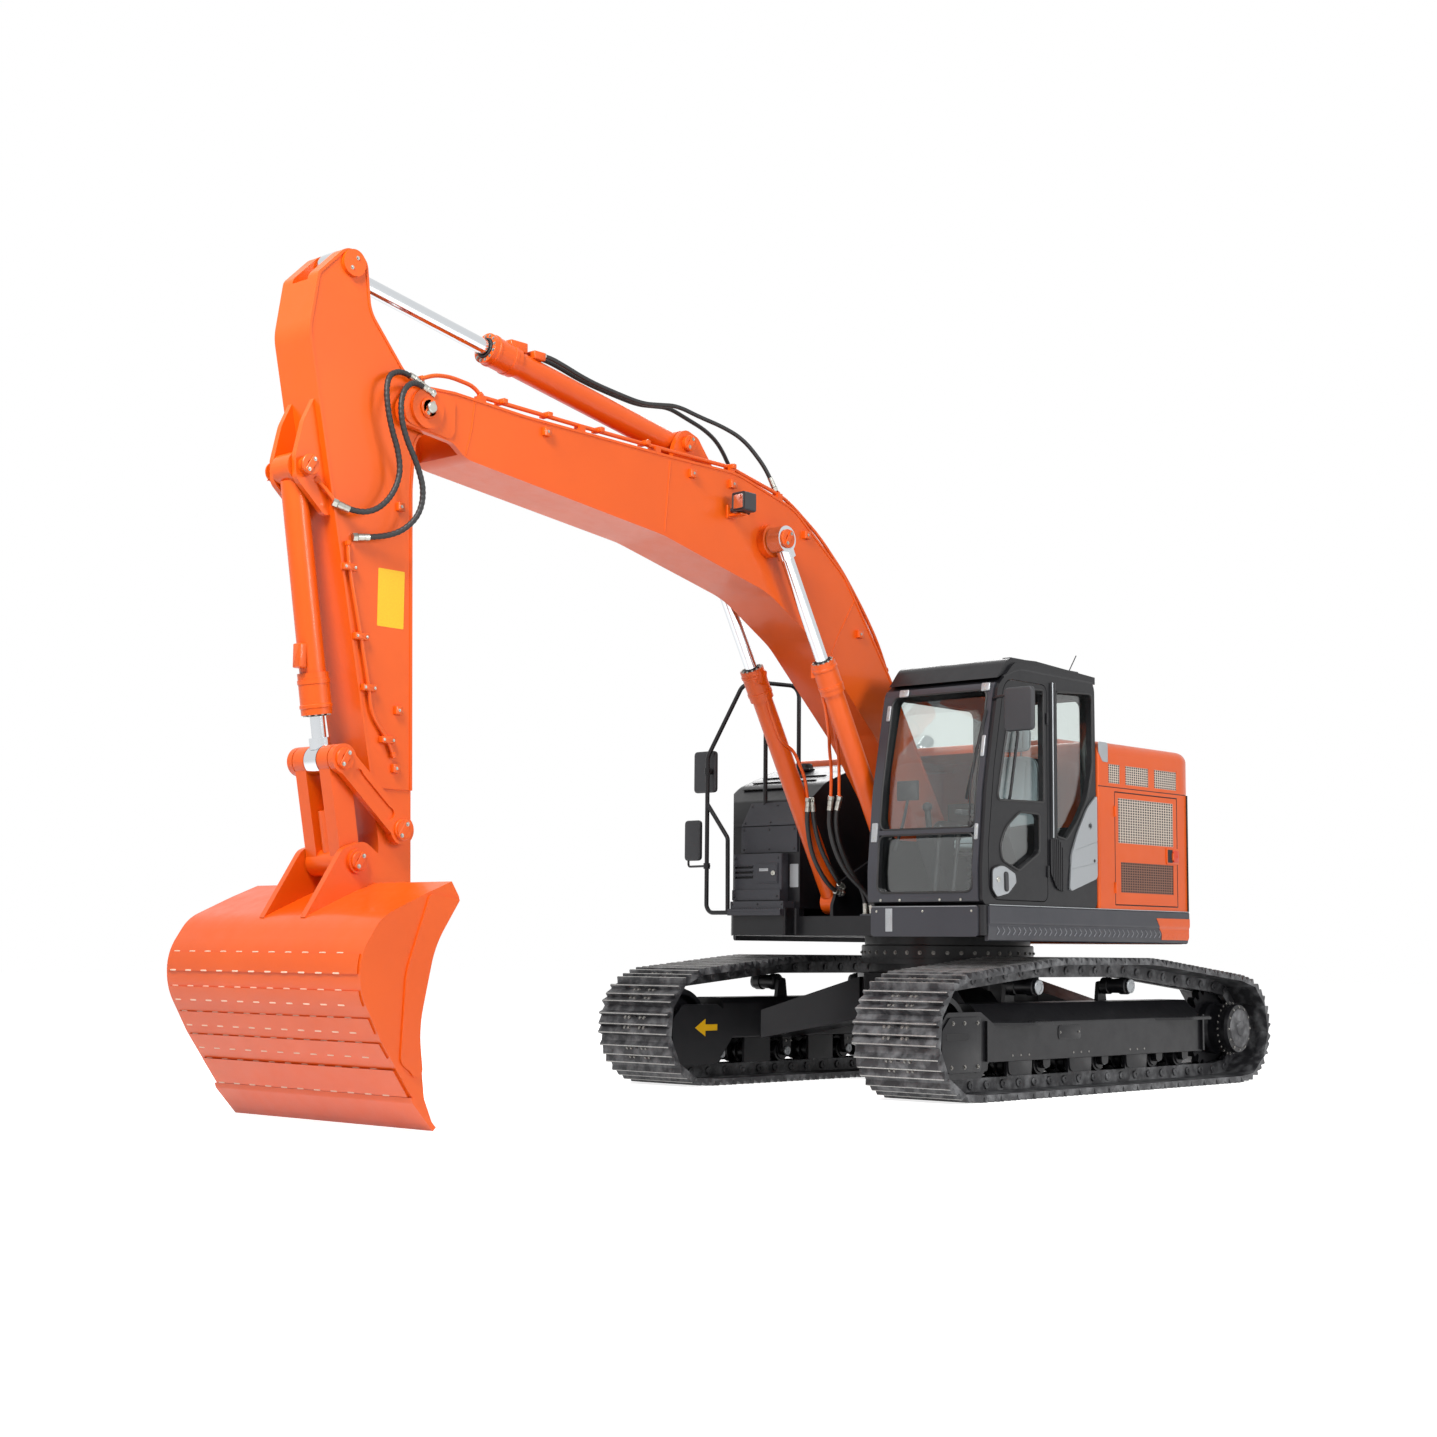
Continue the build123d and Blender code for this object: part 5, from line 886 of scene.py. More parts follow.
def bodyTrim():
    # bright corner plate, seams, hood handles, bolts and ribs, lifting eyes, and dark beads along the tail's swages
    # that paint the shade of their creases
    y = 1.463
    corner = [sidePlate(roundedOutline([(2.385, 0.02, 0.01), (2.53, 0.02, 0.03), (2.53, 0.148, 0.02),
                                        (2.455, 0.148, 0.05), (2.385, 0.09, 0.04)], 5), y - 0.001, 0.004, 0.001)]
    seams = [slab((-1.104, y - 0.001, 1.312), (-1.098, y + 0.0125, 2.204), 0.001)]
    seams += mirroredShapes(seams)
    handle = []
    for y0 in (-0.45, 0.45):
        handle.append(tubeAlong([(-1.2, y0 - 0.09, 2.6), (-1.2, y0 - 0.09, 2.64), (-1.2, y0 + 0.09, 2.64),
                                 (-1.2, y0 + 0.09, 2.6)], 0.008, 0.022, 10))
    bolts = []
    for x in (-0.3, -0.7, -1.1):
        bolts += hexBolts([(x, y0, 2.609) for y0 in (-0.86, 0.86)], (0, 0, 1), 0.01)
    ribs = [slab((-1.26, y0 - 0.012, 2.606), (-0.28, y0 + 0.012, 2.618), 0.004) for y0 in (-0.62, -0.22, 0.22, 0.62)]
    eyes = []
    for y0 in (-0.62, 0.62):
        angle = np.linspace(0, np.pi, 17)
        line = np.stack([-1.47 + 0 * angle, y0 + 0.055 * np.cos(angle), 2.545 + 0.062 * np.sin(angle)], -1)
        eyes.append(carried(line, circleProfile(0.011, 10)))
    tail = []
    for z in (1.14, 1.62, 2.15):
        angle = np.linspace(-0.9, 0.9, 61)
        line = np.stack([-1.8388 * np.cos(angle), 1.8388 * np.sin(angle), z + 0 * angle], -1)
        line = line[np.abs(line[:, 1]) < 1.44]
        tail.append(carried(line, circleProfile(0.0035, 6)))
    seams += [slab((-1.262, y0 - 0.003, 2.2), (-1.258, y0 + 0.003, 2.204), 0.001) for y0 in (-0.1, 0.1)]
    makePiece("cornerPlate", corner, silver, "upper", "silver_paint")
    makePiece("bodySeams", seams, seamAndShadeDark, "upper", "black_paint")
    makePiece("hoodHandles", handle, satinBlackEnamel, "hood", "black_paint")
    makePiece("hoodBolts", bolts, zinc, "hood", "silver_paint")
    makePiece("hoodRibs", ribs, orangeEnamel, "hood", "orange_paint")
    makePiece("liftingEyes", eyes, satinBlackEnamel, "upper", "black_paint")
    makePiece("tailSwageShade", tail, seamAndShadeDark, "upper", "black_paint")
    # tail reflectors
    for side, tag in sideTags.items():
        a = 0.62 * side
        out = np.array((-math.cos(a), math.sin(a), 0))
        across = np.array((math.sin(a), math.cos(a), 0))
        lamp = roundedBox(-0.07, -0.035, 0.07, 0.035, 0.012)
        place = out * 1.838 + (0, 0, 1.9)
        makePiece("tailReflector" + tag, [plate(lamp, place, -across, (0, 0, 1), 0.007, 0.003)],
                  finishes["amberLens"], "upper", "silver_paint")
    # exhaust clamp band
    clamp = [turned((-1.13, -1.08, 2.64), (0, 0, 1), [(0, 0.0585), (0, 0.0625), (0.022, 0.0625),
                                                      (0.022, 0.0585)], 36)]
    makePiece("exhaustClamp", clamp, zinc, "upper", "silver_paint")


bodyTrim()
print("upper body dressed")


# Cab: rubber seals, windscreen frame's fittings, wiper, mirrors, aerial, seat and levers
doorWindow = [(0.848, 2.045, 0.025), (1.42, 2.03, 0.04), (1.225, 2.82, 0.13), (0.848, 2.84, 0.03)]
lowerWindow = [(0.905, 1.96, 0.04), (1.15, 1.96, 0.09), (1.32, 1.85, 0.25), (1.385, 1.72, 0.12),
               (1.37, 1.62, 0.07), (1.165, 1.555, 0.05), (0.905, 1.69, 0.06)]
quarterWindow = [(0.688, 2.845, 0.04), (0.688, 1.812, 0.025), (0.565, 1.795, 0.035), (0.42, 1.93, 0.3),
                 (0.28, 2.11, 0.3), (0.215, 2.33, 0.3), (0.215, 2.87, 0.05)]
rightWindow = [(0.3, 1.78, 0.08), (1.44, 1.78, 0.15), (1.39, 2.25, 0.5), (1.26, 2.8, 0.1), (0.3, 2.8, 0.08)]
handlePlate = [(1.495, 1.56, 0.05), (1.37, 1.592, 0.15), (1.215, 1.535, 0.04), (1.2, 1.47, 0.03),
               (1.3, 1.39, 0.06), (1.44, 1.362, 0.05), (1.495, 1.42, 0.04)]
screenRows = dict(z=[1.31, 1.47, 1.75, 2.1, 2.5, 2.82, 2.9], x=[1.6105, 1.6095, 1.59, 1.553, 1.478, 1.4145, 1.398])


def screenX(z):
    return np.interp(z, screenRows["z"], screenRows["x"])


def seal(rows, y, radius):
    # a round rubber bead laid round an outline of (x, z, corner radius) on a side wall
    outline = roundedOutline(rows, 7)
    line = np.stack([outline[:, 0], np.full(len(outline), y), outline[:, 1]], -1)
    return carried(line, circleProfile(radius, 8), closed=True)


def screenSeal(y0, y1, z0, z1, radius):
    # the same bead on the curved windscreen: x follows the frame's front face at each height
    outline = roundedBox(y0, z0, y1, z1, 0.06, 7)
    extra = [np.linspace(outline[k], outline[(k + 1) % len(outline)], 8)[:-1] for k in range(len(outline))]
    outline = np.concatenate(extra)
    line = np.stack([screenX(outline[:, 1]), outline[:, 0], outline[:, 1]], -1)
    return carried(line, circleProfile(radius, 8), closed=True)


def cabTrim():
    shell = [seal(quarterWindow, 1.4535, 0.008), seal(rightWindow, 0.4725, 0.008)]
    shell += [screenSeal(0.566, 1.376, 1.399, 1.8, 0.008), screenSeal(0.566, 1.376, 1.84, 2.796, 0.008)]
    rear = roundedBox(0.57, 1.9, 1.35, 2.84, 0.08, 7)
    back = 0.1655 - 0.004 + (rear[:, 1] - 1.9) * 0.0092
    shell.append(carried(np.stack([back, rear[:, 0], rear[:, 1]], -1), circleProfile(0.009, 8), closed=True))
    makePiece("windowSeals", shell, rubber, "upper", "black_paint")
    makePiece("doorSeals", [seal(doorWindow, 1.4535, 0.008), seal(lowerWindow, 1.4535, 0.008)],
              rubber, "cab_door", "black_paint")
    # hinges, corner brackets and bolts of the opening windscreen: y, z from and to
    blocks = [(0.622, 0.702, 2.79, 2.842), (1.33, 1.4, 2.785, 2.842), (0.53, 0.562, 2.622, 2.734),
              (0.5, 0.552, 1.755, 1.891), (1.384, 1.412, 2.323, 2.471), (1.384, 1.412, 1.752, 1.862)]
    brackets, bolts = [], []
    for y0, y1, z0, z1 in blocks:
        outline = roundedBox(y0, z0, y1, z1, 0.01, 4)
        lean = np.array((screenX(z1) - screenX(z0), 0, z1 - z0))
        up = unit(lean)
        tall = outline * (1, np.linalg.norm(lean) / (z1 - z0))
        start = np.array((screenX(z0), 0, z0)) - up * tall[:, 1].min()
        brackets.append(plate(tall, start - (0.002, 0, 0), (0, 1, 0), up, 0.014, 0.004))
        for share in (0.25, 0.75):
            z = z0 + (z1 - z0) * share
            bolts += hexBolt((screenX(z) + 0.012, (y0 + y1) / 2, z), (1, 0, 0.1), 0.007)
    bolts += hexBolts([(screenX(1.347), y, 1.347) for y in (0.596, 0.762, 1.105, 1.281)], (1, 0, 0), 0.01)
    makePiece("screenBrackets", brackets, silver, "upper", "silver_paint")
    makePiece("screenBolts", bolts, zinc, "upper", "silver_paint")
    # wiper: arm from a low pivot to a long blade that lies on the glass
    pivot, tip = np.array((1.303, 2.032)), np.array((1.389, 2.651))
    rows = pivot + (tip - pivot) * np.linspace(0, 1, 24)[:, None]
    line = np.stack([screenX(rows[:, 1]) + 0.01, rows[:, 0], rows[:, 1]], -1)
    blade = carried(line, np.array([(-0.004, -0.012), (0.004, -0.012), (0.008, 0.004), (0, 0.01), (-0.008, 0.004)]))
    arm = tubeAlong([(screenX(1.86) + 0.012, 1.345, 1.86), (screenX(2.1) + 0.03, 1.34, 2.1),
                     (screenX(2.34) + 0.022, 1.346, 2.34)], 0.006, 0.08, 8)
    post = turned((screenX(1.86) - 0.004, 1.345, 1.86), (1, 0, 0.05), [(0, 0.02), (0.018, 0.018), (0.022, 0.01)], 18)
    makePiece("wiper", [blade, arm, post], rubber, "upper", "black_paint")
    # bright tube on the pillar behind the door, and the drip rail under the roof
    pillar = [carried(np.array([(0.748, 1.468, 1.8), (0.748, 1.468, 2.3), (0.748, 1.468, 2.9)]),
                      circleProfile(0.005, 10))]
    makePiece("pillarStrip", pillar, silver, "upper", "silver_paint")
    drip = [tubeAlong([(0.2, 1.446, 2.952), (1.16, 1.446, 2.958), (1.33, 1.444, 2.89)], 0.009, 0.08, 8),
            tubeAlong([(0.2, 0.48, 2.952), (1.16, 0.48, 2.958), (1.33, 0.482, 2.89)], 0.009, 0.08, 8)]
    makePiece("dripRails", drip, satinBlackEnamel, "upper", "black_paint")
    # door: inner grab rail, the handle's silver skin with its well and paddle, lock and rubber rim
    rail = [tubeAlong([(1.131, 1.418, 2.56), (1.131, 1.432, 2.52), (1.234, 1.432, 2.06), (1.234, 1.418, 2.03)],
                      0.011, 0.03, 10)]
    makePiece("doorRail", rail, satinBlackEnamel, "cab_door", "black_paint")
    lock = [turned((1.425, 1.463, 1.487), (0, 1, 0), [(0, 0.019), (0.006, 0.019), (0.008, 0.016), (0.008, 0.006),
                                                      (0.006, 0.005)], 22)]
    edge = roundedOutline(handlePlate, 7)
    line = np.stack([edge[:, 0], np.full(len(edge), 1.4615), edge[:, 1]], -1)
    skin = sidePlate(insetOutline(edge, 0.005)[:, ::-1], 1.46, 0.004, 0.0015)
    oval = roundedOutline([(1.405, 1.3, 0.026), (1.54, 1.306, 0.026), (1.545, 1.362, 0.026),
                           (1.405, 1.356, 0.026)], 8)
    makePiece("handleSkin", [skin], silver, "cab_door", "silver_paint")
    makePiece("handleWell", [sidePlate(oval, 1.463, 0.004, 0.0015)], rubber, "cab_door", "black_paint")
    makePiece("handlePaddle", [sidePlate(insetOutline(oval, 0.009), 1.466, 0.008, 0.0035)],
              moulded, "cab_door", "black_paint")
    makePiece("doorLock", lock, zinc, "cab_door", "silver_paint")
    makePiece("handleRim", [carried(line, circleProfile(0.004, 8), closed=True)], rubber,
              "cab_door", "black_paint")
    # aerial, roof fittings and the hatch's seal
    aerial = [tubeAlong([(0.285, 1.3, 2.995), (0.285, 1.3, 3.03), (0.175, 1.3, 3.17)], 0.004, 0.02, 8),
              turned((0.285, 1.3, 2.992), (0, 0, 1), [(0, 0.018), (0.012, 0.016), (0.026, 0.007)], 18)]
    makePiece("aerial", aerial, rubber, "upper", "black_paint")
    cover = [slab((0.3, 1.29, 3.004), (0.51, 1.4, 3.03), 0.006),
             slab((1.0, 1.33, 3.036), (1.17, 1.4, 3.046), 0.004)]
    makePiece("roofFittings", cover, moulded, "upper", "black_paint")
    hatch = roundedBox(0.545, 0.625, 1.095, 1.305, 0.06, 6)
    points = np.stack([hatch[:, 0], hatch[:, 1], np.interp(hatch[:, 0], [0.13, 0.9, 1.25],
                                                           [3.004, 3.043, 3.031])], -1)
    makePiece("hatchSeal", [carried(points, circleProfile(0.01, 8), closed=True)], rubber, "upper", "black_paint")
    # rubber covers' latches on the bright side cover
    latch = [turned((0.267, 1.462, 1.906), (0, 1, 0), [(0, 0.013), (0.004, 0.013), (0.005, 0.01)], 18),
             turned((0.213, 1.464, 1.656), (0, 1, 0), [(0, 0.012), (0.003, 0.012), (0.004, 0.009)], 18)]
    makePiece("coverLatches", latch, rubber, "upper", "black_paint")


cabTrim()


def mirrorSet():
    # rounded housings with a silvered glass on their rear faces, on bent stays and clamps
    shells, glasses, stays = [], [], []
    # lowest and highest corners of each housing
    pods = [((1.462, 1.565, 2.485), (1.502, 1.803, 2.785)), ((1.176, -1.563, 2.212), (1.216, -1.332, 2.538)),
            ((1.208, -1.628, 1.683), (1.248, -1.46, 1.999))]
    for low, high in pods:
        depth = high[0] - low[0]
        outline = roundedBox(low[1], low[2], high[1], high[2], 0.035, 7)
        shells.append(frontPlate(outline, low[0], depth, 0.017, 6))
        pane = insetOutline(outline, 0.014)
        glasses.append(plate(pane * (-1, 1), (low[0] + 0.0005, 0, 0), (0, -1, 0), (0, 0, 1), 0.002, 0.0008, 2))
    stays.append(tubeAlong([(1.405, 1.405, 2.722), (1.445, 1.47, 2.735), (1.484, 1.585, 2.735)], 0.011, 0.05, 12))
    stays.append(turned((1.402, 1.4, 2.722), (0.6, 0.8, 0.1), [(0, 0.024), (0.016, 0.024), (0.022, 0.018)], 18))
    stays.append(tubeAlong([(1.228, -1.595, 1.705), (1.228, -1.595, 1.638), (1.262, -1.372, 1.638)], 0.009,
                           0.025, 10))
    for z, tall in ((2.3725, 0.05), (1.638, 0.044)):
        stays.append(turned((1.268, -1.365, z - tall / 2), (0, 0, 1), [(0, 0.0176), (0, 0.026), (tall, 0.026),
                                                                       (tall, 0.0176)], 24))
        for dy in (-0.03, 0.03):
            stays += hexBolt((1.268, -1.365 + dy, z), (0, math.copysign(1, dy), 0), 0.008)
    stays.append(slab((1.206, -1.372, 2.352), (1.262, -1.352, 2.393), 0.004))
    shell = makePiece("mirrorHousings", shells, moulded, "upper", "black_paint")
    makePiece("mirrorGlasses", glasses, finishes["mirrorSilver"], "upper", "cab_glazing")
    makePiece("mirrorStays", stays, satinBlackEnamel, "upper", "black_paint")
    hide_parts("mirrors")


mirrorSet()


def cushion(name, centre, size, across, up, channels):
    # crowned closed form: a superellipse section (|cos|^0.45, |sin|^0.45) narrowed towards both ends by
    # the same power, with a swelling of the broad faces and grooves sunk along the sewn channels
    across, up = unit(across), unit(up)
    out = np.cross(across, up)
    u = np.linspace(0, 2 * np.pi, 97)[:-1][None, :]
    v = np.linspace(-np.pi / 2, np.pi / 2, 49)[:, None]

    def power(value, amount):
        return np.sign(value) * np.abs(value) ** amount
    a = power(np.cos(v), 0.38) * power(np.cos(u), 0.42)
    b = power(np.sin(v), 0.38) * np.ones_like(u)
    c = power(np.cos(v), 0.3) * power(np.sin(u), 0.6)
    swell = 1 - 0.22 * (a ** 2 + b ** 2)
    for place in channels:
        swell = swell - 0.13 * np.exp(-((b - place) / 0.035) ** 2) * (np.abs(a) < 0.8)
    for place in (-0.62, 0.62):
        swell = swell - 0.12 * np.exp(-((a - place) / 0.03) ** 2) * (np.abs(b) < 0.85)
    waist = 1 - 0.035 * (1 - np.abs(c))
    points = (np.asarray(centre) + (a * waist * size[0] / 2)[..., None] * across
              + (b * waist * size[1] / 2)[..., None] * up + (c * swell * size[2] / 2)[..., None] * out)
    piece = makePiece(name, [surface(points, closeColumns=True, caps=True)], seatCloth, "upper", "seat_fabric", 60)
    # piped seam round its middle
    rim = points[:, [0, 48]]
    line = np.concatenate([rim[6:-6, 0], rim[6:-6, 1][::-1]])
    makePiece(name + "Piping", [carried(line, circleProfile(0.0035, 8), closed=True)], rubber,
              "upper", "seat_fabric")


def driverSeat():
    cushion("seatCushion", (0.745, 0.96, 1.758), (0.5, 0.47, 0.125), (1, 0, 0.03), (0, 1, 0), (-0.45, 0.0, 0.45))
    cushion("seatBack", (0.52, 0.96, 2.115), (0.455, 0.61, 0.12), (0, 1, 0), (-0.07, 0, 1), (-0.5, -0.1, 0.3))
    cushion("headRest", (0.462, 0.96, 2.545), (0.25, 0.18, 0.085), (0, 1, 0), (-0.05, 0, 1), ())
    bars = [tubeAlong([(0.472, 0.96 + d, 2.4), (0.468, 0.96 + d, 2.5)], 0.006, 0.01, 8) for d in (-0.05, 0.05)]
    pan = plate(roundedBox(0.5, 0.745, 0.985, 1.175, 0.05), (0, 0, 1.672), (1, 0, 0), (0, 1, 0), 0.022, 0.006)
    back = plate(roundedOutline([(-0.205, 0.0, 0.05), (0.205, 0.0, 0.05), (0.205, 0.59, 0.06), (-0.205, 0.59, 0.06)]),
                 (0.478, 0.96, 1.815), (0, -1, 0), (-0.07, 0, 1), 0.014, 0.005)
    rails = [slab((0.56, y - 0.018, 1.64), (0.9, y + 0.018, 1.672), 0.004) for y in (0.84, 1.08)]
    # bellows of the seat's suspension: a square outline whose size waves with height
    rows = np.linspace(0, 1, 33)
    outline = roundedBox(-1, -1, 1, 1, 0.3)
    half = 0.15 + 0.012 * np.cos(rows * 2 * np.pi * 6)
    bellows = surface(np.stack([0.73 + outline[None, :, 0] * half[:, None],
                                0.96 + outline[None, :, 1] * half[:, None],
                                np.broadcast_to((1.356 + rows * 0.285)[:, None], (33, len(outline)))], -1),
                      closeColumns=True, caps=True)
    base = makePiece("seatBase", [pan, back, bellows] + rails + bars, rubber, "upper", "black_paint")
    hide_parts("seat")
    arms = []
    for y in (0.7, 1.22):
        arms.append(slab((0.56, y - 0.03, 1.985), (0.83, y + 0.03, 2.025), 0.014))
        arms.append(tubeAlong([(0.56, y, 2.0), (0.535, y, 1.96), (0.535, y, 1.87)], 0.012, 0.03, 10))
    makePiece("armRests", arms, moulded, "upper", "black_paint")
    screen = [slab((1.35, 0.56, 2.06), (1.378, 0.74, 2.2), 0.006),
              tubeAlong([(1.365, 0.65, 2.07), (1.38, 0.62, 1.9), (1.4, 0.56, 1.7)], 0.011, 0.05, 10)]
    makePiece("monitor", screen, moulded, "upper", "black_paint")
    levers = []
    for y in (0.88, 1.04):
        levers.append(slab((1.225, y - 0.045, 1.395), (1.35, y + 0.045, 1.409), 0.004))
        levers.append(turned((1.3, y, 1.77), (-0.15, 0, 1), [(0, 0.017), (0.02, 0.022), (0.09, 0.022),
                                                                 (0.105, 0.016), (0.11, 0.004)], 16))
    makePiece("travelLevers", levers, rubber, "upper", "black_paint")


driverSeat()
print("cab dressed")


# Digging arm: pipes, pins, glands, pads, lamp, plates and the bucket's weld dashes
def skinPoint(node, start, direction):
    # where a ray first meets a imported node: the place and the surface's outward direction
    hit, place, normal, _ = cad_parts[node].ray_cast(Vector(start), Vector(direction))
    return (np.array(place), np.array(normal)) if hit else None


def pinHead(x, z, y, radius, way=1):
    # stepped pin end with a keeper bar held by two bolts
    head = [turned((x, y, z), (0, way, 0), [(0, radius), (0.01, radius), (0.014, radius - 0.004),
                                            (0.014, radius * 0.45), (0.01, radius * 0.4)], 28)]
    keeper = roundedBox(-0.02, -radius * 0.95, 0.02, radius * 0.95, 0.012, 4)
    head.append(plate(keeper if way < 0 else keeper * (1, -1), (x, y + way * 0.013, z), (-1, 0, -0.6 * way),
                      (-0.6, 0, 1), 0.009, 0.002, 2))
    bolts = hexBolts([(x - 0.51 * share * radius, y + way * 0.022, z + 0.86 * share * radius)
                      for share in (-0.62, 0.62)], (0, way, 0), 0.013)
    return head, bolts


def pins():
    # name, x, z, outermost y, radius, body
    rows = [("boomTipPin", 5.515, 4.165, 0.241, 0.062, "boom"),
            ("boomEyePin", 2.4, 3.826, 0.392, 0.066, "boom_rod_left"),
            ("armCylinderBasePin", 3.148, 4.398, 0.151, 0.055, "boom"),
            ("armCylinderEyePin", 6.043, 4.935, 0.16, 0.06, "arm"),
            ("bucketCylinderBasePin", 6.31, 3.699, 0.165, 0.06, "arm"),
            ("rodEyePin", 6.045, 2.048, 0.21, 0.062, "side_links"),
            ("linkFootPin", 5.612, 1.664, 0.21, 0.062, "side_links"),
            ("bucketPin", 5.645, 1.255, 0.23, 0.064, "bucket"),
            ("bucketLinkPin", 5.938, 1.472, 0.23, 0.056, "bucket")]
    for name, x, z, y, radius, body in rows:
        for way, tag in sideTags.items():
            rides = body.replace("left", tag.lower())
            head, bolts = pinHead(x, z, way * y, radius, way)
            makePiece(name + tag, head, orangeEnamel, rides, "orange_paint")
            makePiece(name + "Bolts" + tag, bolts, zinc, rides, "orange_paint")
    nut = [turned((5.515, 0.266, 4.165), (0, 1, 0), [(0, 0.034), (0.012, 0.034), (0.018, 0.028), (0.018, 0.01)], 24)]
    makePiece("boomTipNut", nut, zinc, "boom", "silver_paint")


pins()


def cylinderTrim():
    # bolted gland, black wiper seal and raised bands. Rows: name, body, base and eye pins, collar's and
    # rod's radius; the gland's face is the barrel's furthest point towards the eye
    rows = [("armGland", "arm_barrel", (3.148, 0, 4.398), (6.043, 0, 4.935), 0.099, 0.052),
            ("bucketGland", "bucket_barrel", (6.31, 0, 3.699), (6.045, 0, 2.048), 0.089, 0.045)]
    for way, tag in ((0.332, "left"), (-0.332, "right")):
        rows.append(("boomGland" + tag.capitalize(), "boom_barrel_" + tag, (0.985, way, 1.357), (2.4, way, 3.826),
                     0.088, 0.048))
    for name, body, start, end, collar, rod in rows:
        start, way = np.array(start), unit(np.subtract(end, start))
        corners = np.array([vertex.co[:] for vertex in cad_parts[body].data.vertices])
        face = start + way * ((corners - start) @ way).max()
        bolts = ringOfBolts(face, way, collar - 0.017, 12, 0.012, 0.2)
        bands = [turned(face - way * 0.06, way, [(0, collar + 0.001), (0.004, collar + 0.005),
                                                 (0.02, collar + 0.005), (0.024, collar + 0.001)], 40),
                 turned(face - way * 0.205, way, [(0, collar - 0.006), (0.004, collar + 0.004),
                                                  (0.028, collar + 0.004), (0.032, collar - 0.006)], 40)]
        ring = [turned(face, way, [(0, rod + 0.016), (0.008, rod + 0.014), (0.01, rod + 0.003),
                                   (0.002, rod + 0.002)], 32)]
        makePiece(name + "Bands", bands, orangeEnamel, body, "orange_paint")
        makePiece(name + "Bolts", bolts, zinc, body, "silver_paint")
        makePiece(name + "Wiper", ring, rubber, body, "black_paint")


cylinderTrim()


def steelPipes():
    # painted steel lines: name, body, tube radius, bend, points
    rows = [("boomRearPipe", "boom", 0.013, 0.12, [(2.262, 0.17, 4.203), (2.112, 0.17, 4.15), (1.786, 0.17, 3.96),
                                                   (1.497, 0.17, 3.72), (1.261, 0.17, 3.465), (1.1, 0.17, 3.262),
                                                   (0.99, 0.17, 3.06)]),
            ("boomTipPipe", "boom", 0.013, 0.06, [(5.04, 0.17, 4.342), (5.11, 0.17, 4.395), (5.3, 0.18, 4.41),
                                                  (5.44, 0.2, 4.39), (5.56, 0.205, 4.34)]),
            ("armSidePipe", "arm", 0.012, 0.1, [(6.036, 0.178, 3.3), (6.03, 0.178, 3.18), (5.99, 0.178, 3.02),
                                                 (5.864, 0.178, 2.502), (5.837, 0.178, 2.32), (5.72, 0.178, 2.19),
                                                 (5.66, 0.178, 2.085)]),
            ("armSidePipeInner", "arm", 0.012, 0.1, [(6.12, 0.172, 3.5), (6.168, 0.16, 3.56), (6.235, 0.12, 3.64)]),
            ("rightCylinderPipe", "boom_barrel_right", 0.012, 0.06, [
                (1.935, -0.262, 2.99), (1.8, -0.258, 2.69), (1.7, -0.256, 2.51), (1.56, -0.246, 2.45),
                (1.44, -0.24, 2.26), (1.4, -0.242, 2.09)]),
            ("leftCylinderPipe", "boom_barrel_left", 0.012, 0.06, [
                (1.94, 0.262, 2.995), (1.8, 0.25, 2.7), (1.7, 0.2, 2.52), (1.56, 0.09, 2.44),
                (1.45, 0.02, 2.3), (1.42, -0.01, 2.09)]),
            ("leftCylinderPipeInner", "boom_barrel_left", 0.012, 0.06, [
                (1.86, 0.26, 2.86), (1.7, 0.24, 2.61), (1.58, 0.18, 2.48), (1.45, 0.09, 2.36),
                (1.4, 0.052, 2.25), (1.4, 0.052, 2.09)])]
    for name, body, radius, bend, points in rows:
        shape = [tubeAlong(points, radius, bend, 12)]
        for place, heading in ((points[0], np.subtract(points[1], points[0])),
                               (points[-1], np.subtract(points[-2], points[-1]))):
            shape.append(turned(place, heading, [(0, radius + 0.007), (0.024, radius + 0.007),
                                                 (0.027, radius + 0.002)], 6))
        makePiece(name, shape, orangeEnamel, body, "orange_paint")
        if name.startswith("boom"):
            makePiece(name + "Right", mirroredShapes(shape), orangeEnamel, body, "orange_paint")
    # port blocks on the barrels and the arm cylinder's valve
    blocks = [("armPortRear", "arm_barrel", (4.42, -0.07, 4.712), (4.52, 0.08, 4.765)),
              ("armPortFront", "arm_barrel", (4.56, -0.062, 4.735), (4.705, 0.062, 4.8)),
              ("bucketPort", "bucket_barrel", (6.205, -0.02, 2.56), (6.255, 0.05, 2.7)),
              ("rightPort", "boom_barrel_right", (1.87, -0.29, 2.905), (1.96, -0.24, 3.01)),
              ("leftPort", "boom_barrel_left", (1.87, 0.24, 2.905), (1.96, 0.29, 3.01))]
    for name, body, low, high in blocks:
        makePiece(name, [slab(low, high, 0.008)], orangeEnamel, body, "orange_paint")


steelPipes()


